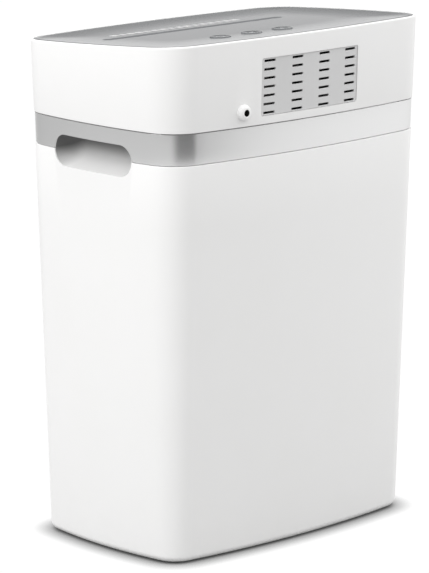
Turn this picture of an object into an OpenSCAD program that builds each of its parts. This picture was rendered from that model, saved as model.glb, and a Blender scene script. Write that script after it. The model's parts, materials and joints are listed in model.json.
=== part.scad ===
// Paper shredder with a lift-off cutting head on a tall waste bin.
// X runs along the long side, +Y is the front, -Y the rear with the vent, +Z is up.
// The origin is on the floor, under the middle of the body.

/* [Body] */
// Width of the body at the top
body_w = 348; // [340:1:376]
// Depth of the body at the top
body_d = 232; // [228:1:250]
// Height of the body at its rear edge
body_h = 486; // [430:1:540]
// Height of the cutting head above the bin, at the rear edge
head_h = 110; // [108:1:140]
// Radius of the upright corners at the top
corner_r = 39; // [30:1:44]
// How far the long sides bow outwards
bow_long = 13.3; // [8:0.1:15]
// How far the short sides bow outwards
bow_short = 11; // [6:0.1:12]
// Draft of the upright walls, in degrees
draft = 1.6; // [1.2:0.1:1.8]
// Slope of the top towards the front, in degrees
top_slope = 3.4; // [2.8:0.1:3.8]

/* [Bin] */
// Wall of the bin
bin_wall = 2.8; // [2:0.1:3.4]
// Floor of the bin
bin_floor = 3; // [2:0.1:5]
// Rounding of the bin's bottom edge
bottom_round = 6; // [4:0.5:10]
// Height of the rim that stands up inside the band
rim_h = 8; // [6:0.5:9]
// Thickness of the rim
rim_t = 2; // [1.6:0.1:2.4]
// How far the feet stand out of the floor
foot_proud = 1.5; // [1:0.1:3]
// Diameter of a foot
foot_d = 26; // [18:1:30]

/* [Band and grips] */
// Height of the silver band
band_h = 29.4; // [27:0.1:34]
// Thickness of the band
band_t = 2.2; // [1.8:0.1:2.4]
// Length of a grip opening
grip_len = 105; // [90:1:110]
// Height of a grip opening
grip_h = 29.5; // [26:0.5:32]
// Depth of a grip cup
grip_depth = 23; // [18:1:26]
// Wall of a grip cup
grip_wall = 2; // [1.6:0.1:2.4]

/* [Lid] */
// Wall of the head's cover
cover_wall = 2.5; // [2:0.1:2.8]
// Width of the white lip round the panel
lip_w = 2.2; // [1.6:0.1:2.6]
// How far the panel is dished below the lip
dish = 1.2; // [0.6:0.1:1.6]
// Thickness of the panel
panel_t = 3; // [2.4:0.1:3.6]
// Thickness of the tray under the mechanism
tray_t = 3; // [2.4:0.1:3.6]

/* [Feed] */
// Length of the paper slot
slot_len = 226; // [216:1:228]
// Width of the paper slot in the panel
slot_w = 8; // [7:0.1:9]
// Middle of the slot along the body
slot_x = -20; // [-24:1:-16]
// Middle of the slot across the body
slot_y = 21.5; // [19:0.5:24]

/* [Buttons] */
// Diameter of a button cap
button_d = 20; // [18:0.5:22]
// Distance from button to button
button_pitch = 39.8; // [34:0.2:42]
// Middle button along the body
button_x = -25; // [-30:1:-20]
// Buttons across the body
button_y = -61; // [-66:1:-56]
// Travel of a button
button_travel = 0.8; // [0.4:0.1:0.8]

/* [Vent and gland] */
// Width of the vent grille
vent_w = 125; // [110:1:126]
// Height of the vent grille
vent_h = 53.5; // [50:0.5:56]
// Depth of the vent's middle below the top edge
vent_drop = 45.8; // [44:0.2:48]
// Columns of vent slots
vent_columns = 4; // [3:1:5]
// Rows of vent slots
vent_rows = 7; // [5:1:8]
// Length of a vent slot
vent_slot_l = 13.7; // [10:0.1:16]
// Height of a vent slot
vent_slot_h = 2.2; // [1.8:0.1:2.6]
// Gland along the body
gland_x = -83.5; // [-88:0.5:-80]
// Depth of the gland below the top edge
gland_drop = 66.8; // [64:0.2:67.2]
// Diameter of the gland's head
gland_d = 15; // [14:0.5:16]
// Diameter of the cord's way through the gland
cord_bore = 6; // [5:0.5:7]

/* [Cutters] */
// Diameter over the cutter hooks
disc_d = 38; // [36:0.5:39]
// Thickness of a cutter disc
disc_t = 3.8; // [3.4:0.1:3.9]
// Diameter of the hub between two discs
hub_d = 26; // [24:0.5:27]
// Free length of a shaft beside its discs
shaft_spare = 8; // [8:1:20]
// Distance from disc to disc on one shaft
disc_pitch = 8.2; // [8.2:0.1:8.3]
// Distance across the flats of a shaft
shaft_af = 12; // [11:0.5:13]
// Diameter of a shaft's journals
journal_d = 10; // [9:0.5:10.5]
// Height of the cutter shafts above the bin
cutter_rise = 46; // [45:0.5:48]
// Thickness of a side plate
plate_t = 3; // [2.5:0.1:3.5]

/* [Drive] */
// Module of the two timing gears
sync_module = 2; // [2:0.1:2]
// Teeth of a timing gear
sync_teeth = 17; // [17:1:17]
// Module of the drive gear
drive_module = 1.25; // [1.25:0.05:1.25]
// Teeth of the drive gear
drive_teeth = 48; // [44:1:48]
// Teeth of the pinion that turns the drive gear
second_pinion_teeth = 12; // [11:1:13]
// Module of the middle pair
middle_module = 1; // [1:0.05:1]
// Teeth of the second gear
second_gear_teeth = 48; // [44:1:48]
// Teeth of the pinion that turns the second gear
first_pinion_teeth = 12; // [11:1:13]
// Module of the motor pair
motor_module = 0.8; // [0.8:0.05:0.8]
// Teeth of the first gear
first_gear_teeth = 60; // [56:1:60]
// Teeth of the motor pinion
motor_pinion_teeth = 10; // [10:1:11]
// Diameter of the motor
motor_d = 58; // [50:1:59]
// Length of the motor's can
motor_l = 80; // [70:1:84]
// Diameter of the motor shaft
motor_shaft_d = 4; // [3:0.5:4]
// Diameter of the gear studs
stud_d = 6; // [5:0.5:6]
// Diameter of the fan
fan_d = 50; // [44:1:54]

/* [Hidden] */

fit = 0.3;             // gap between pieces that are only placed side by side
slide_fit = 0.04;      // radial gap of a running fit
press_gap = 0.02;      // radial gap of a piece pressed on its seat
seam = 0.5;            // open seam between outer pieces
band_inset = 0.5;      // the band lies this far behind the white walls

bin_top = body_h - head_h;             // seam between the bin and the band
cutter_z = bin_top + cutter_rise;
vent_z = body_h - vent_drop;
gland_z = body_h - gland_drop;

rim_inset = band_inset + band_t + 0.4;
rim_top = bin_top + rim_h;
band_top = bin_top + band_h;
cover_bottom = band_top + seam;
tray_z = rim_top + fit;
tray_top = tray_z + tray_t;
tray_wall_inset = band_inset + band_t + fit;
tray_wall_t = 2.2;
tray_wall_top = cover_bottom + 4;
skirt_inset = rim_inset + rim_t + seam;
skirt_depth = 13;
skirt_t = 2;

// ---------- Outline of the body: four bowed sides that blend into round corners ----------

short_steps = 4;
corner_steps = 8;
long_steps = 6;

function bow_radius(half, bow) = (half * half + bow * bow) / (2 * bow);

// Centre of the corner arc that touches both bowed sides from inside.
function corner_centre(hw, hd, r) =
    let (long_r = bow_radius(hw, bow_long), short_r = bow_radius(hd, bow_short),
         long_c = [0, hd - long_r], short_c = [hw - short_r, 0],
         a = long_r - r, b = short_r - r,
         gap = short_c - long_c, d = norm(gap), u = gap / d,
         along = (a * a - b * b + d * d) / (2 * d),
         off = sqrt(a * a - along * along))
    long_c + along * u + off * [u.y, -u.x];

function arc(centre, r, from, to, steps) =
    [for (i = [0:steps]) centre + r * [cos(from + (to - from) * i / steps), sin(from + (to - from) * i / steps)]];

function tail(points) = [for (i = [1:len(points) - 1]) points[i]];

function quarter(inset) =
    let (hw = body_w / 2 - inset, hd = body_d / 2 - inset, r = max(corner_r - inset, 1),
         c = corner_centre(hw, hd, r),
         long_r = bow_radius(hw, bow_long), short_r = bow_radius(hd, bow_short),
         short_c = [hw - short_r, 0], long_c = [0, hd - long_r],
         a = atan2(c.y, c.x - short_c.x), b = atan2(c.y - long_c.y, c.x))
    concat(arc(short_c, short_r, 0, a, short_steps),
        tail(arc(c, r, a, b, corner_steps)),
        tail(arc(long_c, long_r, b, 90, long_steps)));

function outline(inset) =
    let (q = quarter(inset), n = len(q))
    concat(q,
        [for (i = [n - 2:-1:0]) [-q[i].x, q[i].y]],
        [for (i = [1:n - 1]) [-q[i].x, -q[i].y]],
        [for (i = [n - 2:-1:1]) [q[i].x, -q[i].y]]);

// Height of the sloping top plane.
function top_z(y) = body_h - tan(top_slope) * (y + body_d / 2);
function draft_inset(z) = tan(draft) * (body_h - z);

// Rings of a loft: level(inset, z) is flat, sloped(inset, drop) lies under the top plane.
function level(inset, z) = [for (p = outline(inset + draft_inset(z))) [p.x, p.y, z]];
function sloped(inset, drop) = [for (p = outline(inset)) [p.x, p.y, top_z(p.y) - drop]];

// Skin of triangles from each ring to the next; the last ring is count rings on.
function skin(n, rings, count) =
    [for (k = [0:count - 1], i = [0:n - 1])
        let (j = (i + 1) % n, a = k * n + i, b = k * n + j,
             c = (k + 1) % rings * n + j, d = (k + 1) % rings * n + i)
        each [[a, d, c], [a, c, b]]];

// A solid through a stack of rings, closed by its first and its last ring. The stack may turn
// inwards and go down again, so a cup is one loft: up its outside and down its inside.
module loft(rings) {
    n = len(rings[0]);
    last = (len(rings) - 1) * n;
    polyhedron(
        points = [for (r = rings) each r],
        faces = concat([[for (i = [0:n - 1]) i]], skin(n, len(rings), len(rings) - 1),
            [[for (i = [n - 1:-1:0]) last + i]]),
        convexity = 8);
}

// A wall without ends: up its outside, down its inside and back to the first ring.
module wall(rings) {
    polyhedron(points = [for (r = rings) each r],
        faces = skin(len(rings[0]), len(rings), len(rings)), convexity = 8);
}

// Wall surface of the body, or of an inset from it, on the rear and in the middle of a short side.
function rear_y(x, z, inset = 0) =
    let (i = inset + draft_inset(z), r = bow_radius(body_w / 2 - i, bow_long))
    -(body_d / 2 - i) + r - sqrt(r * r - x * x);
function side_x(z) = body_w / 2 - draft_inset(z);

// ---------- Small helpers ----------

module box(from, to) {
    translate(from) cube(to - from);
}

// A cylinder along X that starts at x0.
module rod_x(x0, length, d, y, z) {
    translate([x0, y, z]) rotate([0, 90, 0]) cylinder(h = length, d = d, $fn = 48);
}

// Lays a flat shape in the YZ plane and thickens it along +X from x0.
module plate_x(x0, thickness) {
    translate([x0, 0, 0]) rotate([90, 0, 90]) linear_extrude(height = thickness) children();
}

module ring_x(x0, length, outer_d, inner_d, y, z) {
    difference() {
        rod_x(x0, length, outer_d, y, z);
        rod_x(x0 - 1, length + 2, inner_d, y, z);
    }
}

// A slot with round ends, lying along X.
module stadium(length, height) {
    square([length - height, height], center = true);
    for (s = [-1, 1]) translate([s * (length - height) / 2, 0]) circle(d = height, $fn = 48);
}

module rounded_rect(w, h, r) {
    square([w - 2 * r, h], center = true);
    square([w, h - 2 * r], center = true);
    for (sx = [-1, 1], sy = [-1, 1])
        translate([sx * (w / 2 - r), sy * (h / 2 - r)]) circle(r = r, $fn = 32);
}

// Places children on the dished face of the panel, square to it.
module on_panel(x, y) {
    translate([x, y, top_z(y) - dish]) rotate([-top_slope, 0, 0]) children();
}

module four_corners(x, y) {
    for (sx = [-1, 1], sy = [-1, 1]) translate([sx * x, sy * y, 0]) children();
}

// ---------- Bin ----------

foot_x = body_w / 2 - draft_inset(0) - corner_r;
foot_y = body_d / 2 - draft_inset(0) - corner_r * 0.8;
foot_pocket = 1;

module grip_opening(grow, depth) {
    for (s = [-1, 1])
        translate([s * side_x(bin_top), 0, bin_top]) rotate([90, 0, 90])
            linear_extrude(height = depth, center = true) stadium(grip_len + 2 * grow, grip_h + 2 * grow);
}

module bin() {
    round_steps = 4;
    shoulder = rim_inset + rim_t - bin_wall;
    color("white") difference() {
        loft(concat(
            [for (i = [0:round_steps]) let (a = 90 * i / round_steps)
                level(bottom_round * (1 - sin(a)), foot_proud + bottom_round * (1 - cos(a)))],
            [level(0, bin_top - 0.8), level(0.5, bin_top), level(rim_inset, bin_top),
                level(rim_inset, rim_top - 1), level(rim_inset + 0.5, rim_top),
                level(bin_wall + shoulder, rim_top), level(bin_wall + shoulder, bin_top - 5),
                level(bin_wall, bin_top - 5 - 2 * shoulder), level(bin_wall, foot_proud + bin_floor + 5),
                level(bin_wall + 3, foot_proud + bin_floor)]));
        grip_opening(0, 24);
        // the rim and its root stop short on both sides of a grip cup
        intersection() {
            loft([level(bin_wall + 0.1, bin_top - cup_room), level(bin_wall + 0.1, rim_top + 1)]);
            for (s = [-1, 1])
                box([s * side_x(bin_top) - 14, -cup_half, bin_top - cup_room + 1],
                    [s * side_x(bin_top) + 14, cup_half, rim_top + 0.5]);
        }
        // pockets for the feet
        four_corners(foot_x, foot_y)
            translate([0, 0, foot_proud - 1]) cylinder(d = foot_d + 2 * fit, h = 1 + foot_pocket, $fn = 48);
    }
}

module rubber_feet() {
    color("dimgray") four_corners(foot_x, foot_y) rotate_extrude($fn = 48)
        polygon([[0, 0], [foot_d / 2 - 1, 0], [foot_d / 2, 0.7], [foot_d / 2, foot_proud + foot_pocket],
            [0, foot_proud + foot_pocket]]);
}

// The key on the bin's rear wall that presses the safety switch when the head is seated.
key_x = -112;
key_w = 14;
key_t = 4;
key_top = rim_top - 3;
key_y = rear_y(key_x, bin_top) + skirt_inset + skirt_t + 3;
key_low = bin_top - 44;
key_turn = asin(key_x / bow_radius(body_w / 2, bow_long));

// A blade beside the bin's wall, on a foot that follows the wall's slant.
module interlock_key() {
    foot_h = 26;
    color("whitesmoke") difference() {
        translate([key_x, key_y, key_low]) rotate([0, 0, key_turn]) rotate([90, 0, 90])
            linear_extrude(height = key_w, center = true) polygon([
                [0, 0], [key_t, 0], [key_t, key_top - key_low], [0, key_top - key_low], [0, foot_h],
                [rear_y(key_x, key_low + foot_h, bin_wall + 0.2) - key_y, foot_h],
                [rear_y(key_x, key_low, bin_wall + 0.2) - key_y, 0]]);
        // lightening pocket
        translate([key_x, key_y, key_low]) cube([key_w - 6, 3 * key_t, 16], center = true);
    }
}

// ---------- Head: outer pieces ----------

module head_cover() {
    color("white") difference() {
        union() {
            wall([level(0.4, cover_bottom), level(0, cover_bottom + 0.6), sloped(0, 2), sloped(0.5, 0.7),
                sloped(1.3, 0), sloped(lip_w, 0), sloped(lip_w, panel_drop), sloped(ledge_inset, panel_drop),
                sloped(ledge_inset, panel_drop + 1), sloped(cover_wall, panel_drop + 6),
                level(cover_wall, cover_bottom)]);
            for (sx = [-1, 1], sy = [-1, 1]) cover_boss(sx, sy);
        }
        // window for the vent grille
        translate([0, -body_d / 2, vent_z]) rotate([90, 0, 0])
            linear_extrude(height = 30, center = true) rounded_rect(vent_w, vent_h, 2);
        // hole and flat seat for the gland
        translate([gland_x, gland_seat_y + cover_wall + 4, gland_z]) rotate([90, 0, 0])
            cylinder(d = gland_body_d + 0.4, h = 30, $fn = 48);
        translate([gland_x, gland_seat_y, gland_z]) rotate([90, 0, 0])
            cylinder(d = gland_d + 0.6, h = 10, $fn = 48);
        // pilot holes of the case screws
        for (sx = [-1, 1], sy = [-1, 1]) translate([sx * boss_at.x, sy * boss_at.y, tray_top])
            cylinder(d = 3, h = 22, $fn = 32);
    }
}

panel_drop = panel_t + dish;            // underside of the panel below the top plane
ledge_inset = 9;                        // width of the ledge that carries the panel
boss_d = 9;
boss_top = cover_bottom + 36;
boss_centre = corner_centre(body_w / 2, body_d / 2, corner_r);
boss_at = boss_centre + (corner_r - 17) * [cos(45), sin(45)];

// Column for a case screw, tied to the corner by a web.
module cover_boss(sx, sy) {
    translate([sx * boss_at.x, sy * boss_at.y, tray_top + fit])
        cylinder(d = boss_d, h = boss_top - tray_top - fit, $fn = 48);
    translate([sx * boss_at.x, sy * boss_at.y, tray_wall_top + 1])
        rotate([0, 0, atan2(sy, sx)]) translate([0, -1.5, 0])
            cube([17 - draft_inset(tray_wall_top) - cover_wall / 2, 3, boss_top - tray_wall_top - 1]);
}

module trim_band() {
    color("silver") difference() {
        wall([level(band_inset + 0.4, bin_top + seam), level(band_inset, bin_top + seam + 0.5),
            level(band_inset, band_top - 0.5), level(band_inset + 0.4, band_top),
            level(band_inset + band_t, band_top), level(band_inset + band_t, bin_top + seam)]);
        grip_opening(0, 24);
    }
}

module control_panel() {
    color("#aeb0b2") difference() {
        union() {
            loft([sloped(lip_w + 0.5, panel_drop), sloped(lip_w + 0.15, panel_drop - 0.4),
                sloped(lip_w + 0.15, 0.5), sloped(lip_w + 0.5, 0.1), sloped(6, dish * 0.15),
                sloped(12, dish * 0.4), sloped(20, dish * 0.75), sloped(30, dish * 0.96), sloped(38, dish)]);
            // posts that carry the button board
            for (s = [-1, 1]) on_panel(button_x + s * board_post_x, button_y)
                translate([0, 0, -board_drop + fit]) cylinder(d = 6, h = board_drop - panel_t / 2 - fit, $fn = 32);
        }
        on_panel(slot_x, slot_y) translate([0, 0, -panel_t - 2])
            linear_extrude(height = panel_t + 6) stadium(slot_len, slot_w);
        for (k = [-1:1]) on_panel(button_x + k * button_pitch, button_y)
            translate([0, 0, -panel_t - 2]) cylinder(d = button_d + 2 * fit, h = panel_t + 6, $fn = 64);
    }
}

// Hollow for the fingers: open at the mouth, narrower and higher at its closed back.
cup_half = grip_len / 2 + grip_wall + 1.6;
cup_room = grip_h / 2 + grip_wall + 3;
cup_inset = max(bin_wall, band_inset + band_t) + fit;

module cup_form(grow, mouth_x, depth) {
    hull() {
        translate([mouth_x, 0, bin_top]) rotate([90, 0, 90])
            linear_extrude(height = 0.5) stadium(grip_len + 1 + 2 * grow, grip_h + 1 + 2 * grow);
        for (s = [-1, 1])
            translate([mouth_x + depth - 7, s * (grip_len / 2 - 22), bin_top + 4]) rotate([0, 90, 0])
                rotate_extrude($fn = 32) polygon([[0, 0], [8 + grow, 0], [7.6 + grow, 3.5], [6 + grow, 5.8],
                    [3.5, 7 + grow], [0, 7 + grow]]);
    }
}

// The mouth is trimmed to the inside of the wall, so it follows the bow.
module grip_cup(side) {
    mouth = -side_x(bin_top);
    color("white") mirror([side > 0 ? 1 : 0, 0, 0]) intersection() {
        difference() {
            cup_form(grip_wall, mouth, grip_depth + cup_inset);
            cup_form(0, mouth - 0.6, grip_depth + cup_inset);
        }
        loft([level(cup_inset, bin_top - cup_room), level(cup_inset, bin_top + cup_room)]);
    }
}

module grip_cup_left() { grip_cup(-1); }
module grip_cup_right() { grip_cup(1); }

// ---------- Head: tray ----------

outlet_w = disc_d * 2 + 8;
plate_gap = slot_len + 4;                     // clear distance between the side plates
left_plate_x = slot_x - plate_gap / 2 - plate_t;
right_plate_x = slot_x + plate_gap / 2;

module base_tray() {
    post = 7;
    post_h = 34;
    color("dimgray") difference() {
        loft([level(skirt_inset + skirt_t, tray_z), level(skirt_inset + skirt_t, tray_z - skirt_depth),
            level(skirt_inset, tray_z - skirt_depth), level(skirt_inset, tray_z),
            level(tray_wall_inset + 0.3, tray_z), level(tray_wall_inset, tray_z + 0.5),
            level(tray_wall_inset, tray_wall_top), level(tray_wall_inset + tray_wall_t, tray_wall_top),
            level(tray_wall_inset + tray_wall_t, tray_top)]);
        // outlet under the cutters
        box([slot_x - slot_len / 2, slot_y - outlet_w / 2, tray_z - 1], [slot_x + slot_len / 2, slot_y + outlet_w / 2, tray_top + 1]);
        // room for the grip cups
        for (s = [-1, 1])
            box([s * (side_x(bin_top) - 13) - 17, -cup_half, tray_z - skirt_depth - 1],
                [s * (side_x(bin_top) - 13) + 17, cup_half, bin_top + grip_h / 2 + grip_wall + 2]);
        // screw holes and the way for the switch plunger
        for (sx = [-1, 1], sy = [-1, 1]) translate([sx * boss_at.x, sy * boss_at.y, tray_z - 1])
            cylinder(d = 4.4, h = tray_t + 2, $fn = 32);
        translate([key_x, key_y + key_t / 2, tray_z - 1]) cylinder(d = plunger_d + 1, h = tray_t + 2, $fn = 32);
    }
    // grooved posts that hold the control board on edge
    color("dimgray") for (s = [-1, 1]) difference() {
        translate([board_x, board_y + s * board_len / 2, tray_top - 0.5]) translate([-post / 2, -post / 2, 0])
            cube([post, post, post_h]);
        box([board_x - board_t / 2 - 0.15, board_y - board_len / 2 - fit, board_low - 0.2],
            [board_x + board_t / 2 + 0.15, board_y + board_len / 2 + fit, tray_top + post_h + 1]);
    }
}

module case_screws() {
    color("silver") for (sx = [-1, 1], sy = [-1, 1]) translate([sx * boss_at.x, sy * boss_at.y, tray_z]) {
        difference() {
            translate([0, 0, -2.6]) cylinder(d1 = 6.4, d2 = 8, h = 2.5, $fn = 32);
            for (a = [0, 90]) rotate([0, 0, a]) translate([0, 0, -2.6]) cube([4.4, 1, 2], center = true);
        }
        translate([0, 0, -0.2]) cylinder(d = 2.9, h = 20, $fn = 32);
    }
}

// ---------- Vent and gland ----------

module vent_grille() {
    column_pitch = (vent_w - vent_slot_l - 7) / (vent_columns - 1);
    row_pitch = (vent_h - vent_slot_h - 3.2) / (vent_rows - 1);
    color("#c4c4c4") difference() {
        union() {
            intersection() {
                body_skin(0.7, cover_wall + fit);
                translate([0, -body_d / 2, vent_z]) rotate([90, 0, 0])
                    linear_extrude(height = 40, center = true) rounded_rect(vent_w - 0.5, vent_h - 0.5, 2);
            }
            intersection() {
                body_skin(cover_wall + 0.2, cover_wall + 1.4);
                box([-vent_w / 2 - 3, -body_d, vent_z - vent_h / 2 - 2.5], [vent_w / 2 + 3, 0, vent_z + vent_h / 2 + 2.5]);
            }
        }
        for (c = [0:vent_columns - 1], r = [0:vent_rows - 1])
            translate([(c - (vent_columns - 1) / 2) * column_pitch, -body_d / 2, vent_z + (r - (vent_rows - 1) / 2) * row_pitch])
                cube([vent_slot_l, 40, vent_slot_h], center = true);
    }
}

// A skin that follows the body between two insets, at the height of the vent.
module body_skin(outer, inner) {
    low = vent_z - vent_h;
    high = vent_z + vent_h;
    wall([level(outer, low), level(outer, high), level(inner, high), level(inner, low)]);
}

gland_body_d = 12;
gland_proud = 4.6;
gland_back = 12;
gland_seat_y = rear_y(gland_x, gland_z) + 1;      // the gland's head sits 1 mm into the wall

module cable_gland() {
    color("white") translate([gland_x, gland_seat_y, gland_z]) rotate([90, 0, 0]) difference() {
        rotate_extrude($fn = 64) polygon([[0, -gland_back], [gland_body_d / 2, -gland_back], [gland_body_d / 2, 0],
            [gland_d / 2, 0], [gland_d / 2, 2], [gland_d / 2 - 0.7, 3.4], [gland_d / 2 - 2.2, gland_proud + 0.6],
            [cord_bore / 2 + 0.9, gland_proud + 1], [0, gland_proud + 1]]);
        translate([0, 0, -gland_back - 1]) cylinder(d = cord_bore, h = gland_back + gland_proud + 3, $fn = 48);
    }
}

module gland_nut() {
    nut_y = gland_seat_y + cover_wall + 0.6;
    color("whitesmoke") translate([gland_x, nut_y, gland_z]) rotate([-90, 0, 0]) difference() {
        cylinder(d = 18, h = 5, $fn = 6);
        translate([0, 0, -1]) cylinder(d = gland_body_d + 2 * slide_fit, h = 7, $fn = 48);
    }
}

// ---------- Buttons ----------

button_flange = 1.4;
board_drop = 14;
board_post_x = button_pitch * 1.5;
tact_h = 4.4;

module button(k) {
    top = 0.9;
    color("#a6a8aa") on_panel(button_x + k * button_pitch, button_y) rotate_extrude($fn = 64)
        polygon([[0, top - 0.5], [button_d / 2 - 4, top - 0.3], [button_d / 2 - 1.6, top], [button_d / 2 - 0.5, top - 0.2],
            [button_d / 2, top - 0.8], [button_d / 2, -panel_t - fit], [button_d / 2 + 1.6, -panel_t - fit],
            [button_d / 2 + 1.6, -panel_t - fit - button_flange], [3, -panel_t - fit - button_flange],
            [2.4, -board_drop + tact_h + button_travel + 0.2], [0, -board_drop + tact_h + button_travel + 0.2]]);
}

module power_button() { button(-1); }
module reverse_button() { button(0); }
module forward_button() { button(1); }

module button_board() {
    color("darkgreen") on_panel(button_x, button_y) translate([0, 0, -board_drop - 1.6])
        linear_extrude(height = 1.6) rounded_rect(button_pitch * 3 + 12, 22, 2);
}

module tact_switches() {
    color("black") for (k = [-1:1]) on_panel(button_x + k * button_pitch, button_y) translate([0, 0, -board_drop]) {
        translate([-3, -3, 0]) cube([6, 6, tact_h - 1]);
        translate([0, 0, tact_h - 1]) cylinder(d = 3.4, h = 1, $fn = 32);
    }
}

// ---------- Feed throat and paper sensor ----------

throat_top = top_z(slot_y + 10) - panel_drop - fit;
throat_bottom = cutter_z + disc_d / 2 + 1.5;
throat_w = slot_w + 1;
nip_w = 5.4;
throat_wall = 1.6;
sensor_half = 4;

module throat_form(grow, spill) {
    hull() {
        translate([slot_x, slot_y, throat_top + spill - 0.1]) cube([slot_len + 0.4 + 2 * grow, throat_w + 2 * grow, 0.2], center = true);
        translate([slot_x, slot_y, throat_bottom - spill + 0.1]) cube([slot_len + 0.4 + 2 * grow, nip_w + 2 * grow, 0.2], center = true);
    }
}

module feed_throat() {
    color("gray") difference() {
        throat_form(throat_wall, 0);
        throat_form(0, 0.6);
        // window for the sensor lever
        box([slot_x - sensor_half, slot_y, throat_bottom + 2], [slot_x + sensor_half, slot_y + 20, throat_top - 3]);
    }
}

sensor_pivot = [slot_y + 15, throat_top - 8];
sensor_pin_d = 3;

module sensor_bracket() {
    color("dimgray") for (s = [-1, 1]) difference() {
        union() {
            translate([slot_x + s * (sensor_half + 1.4) - 1, slot_y + throat_w / 2 + throat_wall + 0.2, sensor_pivot.y - 5])
                cube([2, sensor_pivot.x + 5 - slot_y - throat_w / 2 - throat_wall - 0.2, 10]);
            translate([slot_x + s * (sensor_half + 4) - 3.6, slot_y + throat_w / 2 + throat_wall + 0.2, sensor_pivot.y - 5])
                cube([7.2, 1.6, 10]);
        }
        rod_x(slot_x - 20, 40, sensor_pin_d + 2 * slide_fit, sensor_pivot.x, sensor_pivot.y);
    }
}

module paper_sensor_lever() {
    reach = [-16, -6];
    color("black") {
        difference() {
            union() {
                rod_x(slot_x - sensor_half - 2.3, 2 * sensor_half + 4.6, sensor_pin_d, sensor_pivot.x, sensor_pivot.y);
                rod_x(slot_x - 3, 6, 6, sensor_pivot.x, sensor_pivot.y);
                translate([slot_x, sensor_pivot.x, sensor_pivot.y]) rotate([atan2(reach.y, reach.x), 0, 0])
                    translate([-1.5, 0, -1.1]) cube([3, norm(reach), 2.2]);
            }
        }
        // flag behind the pivot that breaks the light beam
        translate([slot_x, sensor_pivot.x, sensor_pivot.y]) translate([-1, 2, -1]) cube([2, 8, 2]);
    }
}

// ---------- Frame ----------

shaft_gap = sync_module * sync_teeth;
front_y = slot_y + shaft_gap / 2;
rear_shaft_y = slot_y - shaft_gap / 2;

rear_axis = [rear_shaft_y, cutter_z];
front_axis = [front_y, cutter_z];
second_axis = rear_axis + drive_module * (drive_teeth + second_pinion_teeth) / 2 * [cos(143), sin(143)];
first_axis = second_axis + middle_module * (second_gear_teeth + first_pinion_teeth) / 2 * [cos(-99), sin(-99)];
motor_axis = first_axis + motor_module * (first_gear_teeth + motor_pinion_teeth) / 2 * [cos(150), sin(150)];

bush_d = journal_d + 6;
tie_d = 8;
comb_up = 10;
comb_down = 12;
tie_points = [[front_y + 23, cutter_z + comb_up + tie_d / 2 + fit], [front_y + 23, cutter_z - comb_down - tie_d / 2 - fit],
    [rear_shaft_y - 16.5, cutter_z + 24], [rear_shaft_y - 23, cutter_z - comb_down - tie_d / 2 - fit]];

module plate_outline(back_y) {
    hull() {
        for (p = [[front_y + 25, cutter_z + 20], [front_y + 25, tray_top + 5.2], [back_y, tray_top + 5.2], [back_y, cutter_z + 22]])
            translate(p) circle(r = 5, $fn = 32);
    }
}

module plate_holes(clearance) {
    for (y = [front_y, rear_shaft_y]) translate([y, cutter_z]) circle(d = bush_d + 2 * clearance, $fn = 48);
    for (p = tie_points) translate(p) circle(d = 4.3, $fn = 32);
}

module left_side_plate() {
    color("lightsteelblue") plate_x(left_plate_x, plate_t) difference() {
        plate_outline(rear_shaft_y - 27);
        plate_holes(press_gap);
    }
}

module right_side_plate() {
    color("lightsteelblue") plate_x(right_plate_x, plate_t) difference() {
        plate_outline(motor_axis.x - motor_d / 2);
        plate_holes(press_gap);
        for (p = [second_axis, first_axis]) translate(p) circle(d = stud_d + 2 * press_gap, $fn = 48);
        translate(motor_axis) {
            circle(d = motor_boss_d + 0.2, $fn = 48);
            for (s = [-1, 1]) translate([0, s * motor_screw_r]) circle(d = 4.3, $fn = 32);
        }
    }
}

module tie_rods() {
    color("silver") for (p = tie_points) difference() {
        rod_x(left_plate_x + plate_t, plate_gap, tie_d, p.x, p.y);
        rod_x(left_plate_x + plate_t - 1, 15, 3.3, p.x, p.y);
        rod_x(right_plate_x - 14, 15, 3.3, p.x, p.y);
    }
}

// A pan-head screw along X; side -1 points its head to -X.
module screw_x(x, p, side, head_d, length, d) {
    translate([x, p.x, p.y]) rotate([0, side * 90, 0]) {
        difference() {
            cylinder(d1 = head_d, d2 = head_d * 0.8, h = 2.4, $fn = 32);
            for (a = [0, 90]) rotate([0, 0, a]) translate([0, 0, 2.4]) cube([head_d * 0.55, 1, 2], center = true);
        }
        translate([0, 0, -length]) cylinder(d = d, h = length + 0.1, $fn = 32);
    }
}

module frame_screws() {
    color("silver") for (p = tie_points) {
        screw_x(left_plate_x - 0.02, p, -1, 7, 12, 3.2);
        screw_x(right_plate_x + plate_t + 0.02, p, 1, 7, 12, 3.2);
    }
}

module shaft_bushes() {
    color("peru") for (y = [front_y, rear_shaft_y]) {
        ring_x(left_plate_x, plate_t, bush_d, journal_d + 2 * slide_fit, y, cutter_z);
        ring_x(left_plate_x - 1.5, 1.5, bush_d + 4, journal_d + 2 * slide_fit, y, cutter_z);
        ring_x(right_plate_x, plate_t, bush_d, journal_d + 2 * slide_fit, y, cutter_z);
        ring_x(right_plate_x + plate_t, 1.5, bush_d + 4, journal_d + 2 * slide_fit, y, cutter_z);
    }
}

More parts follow.
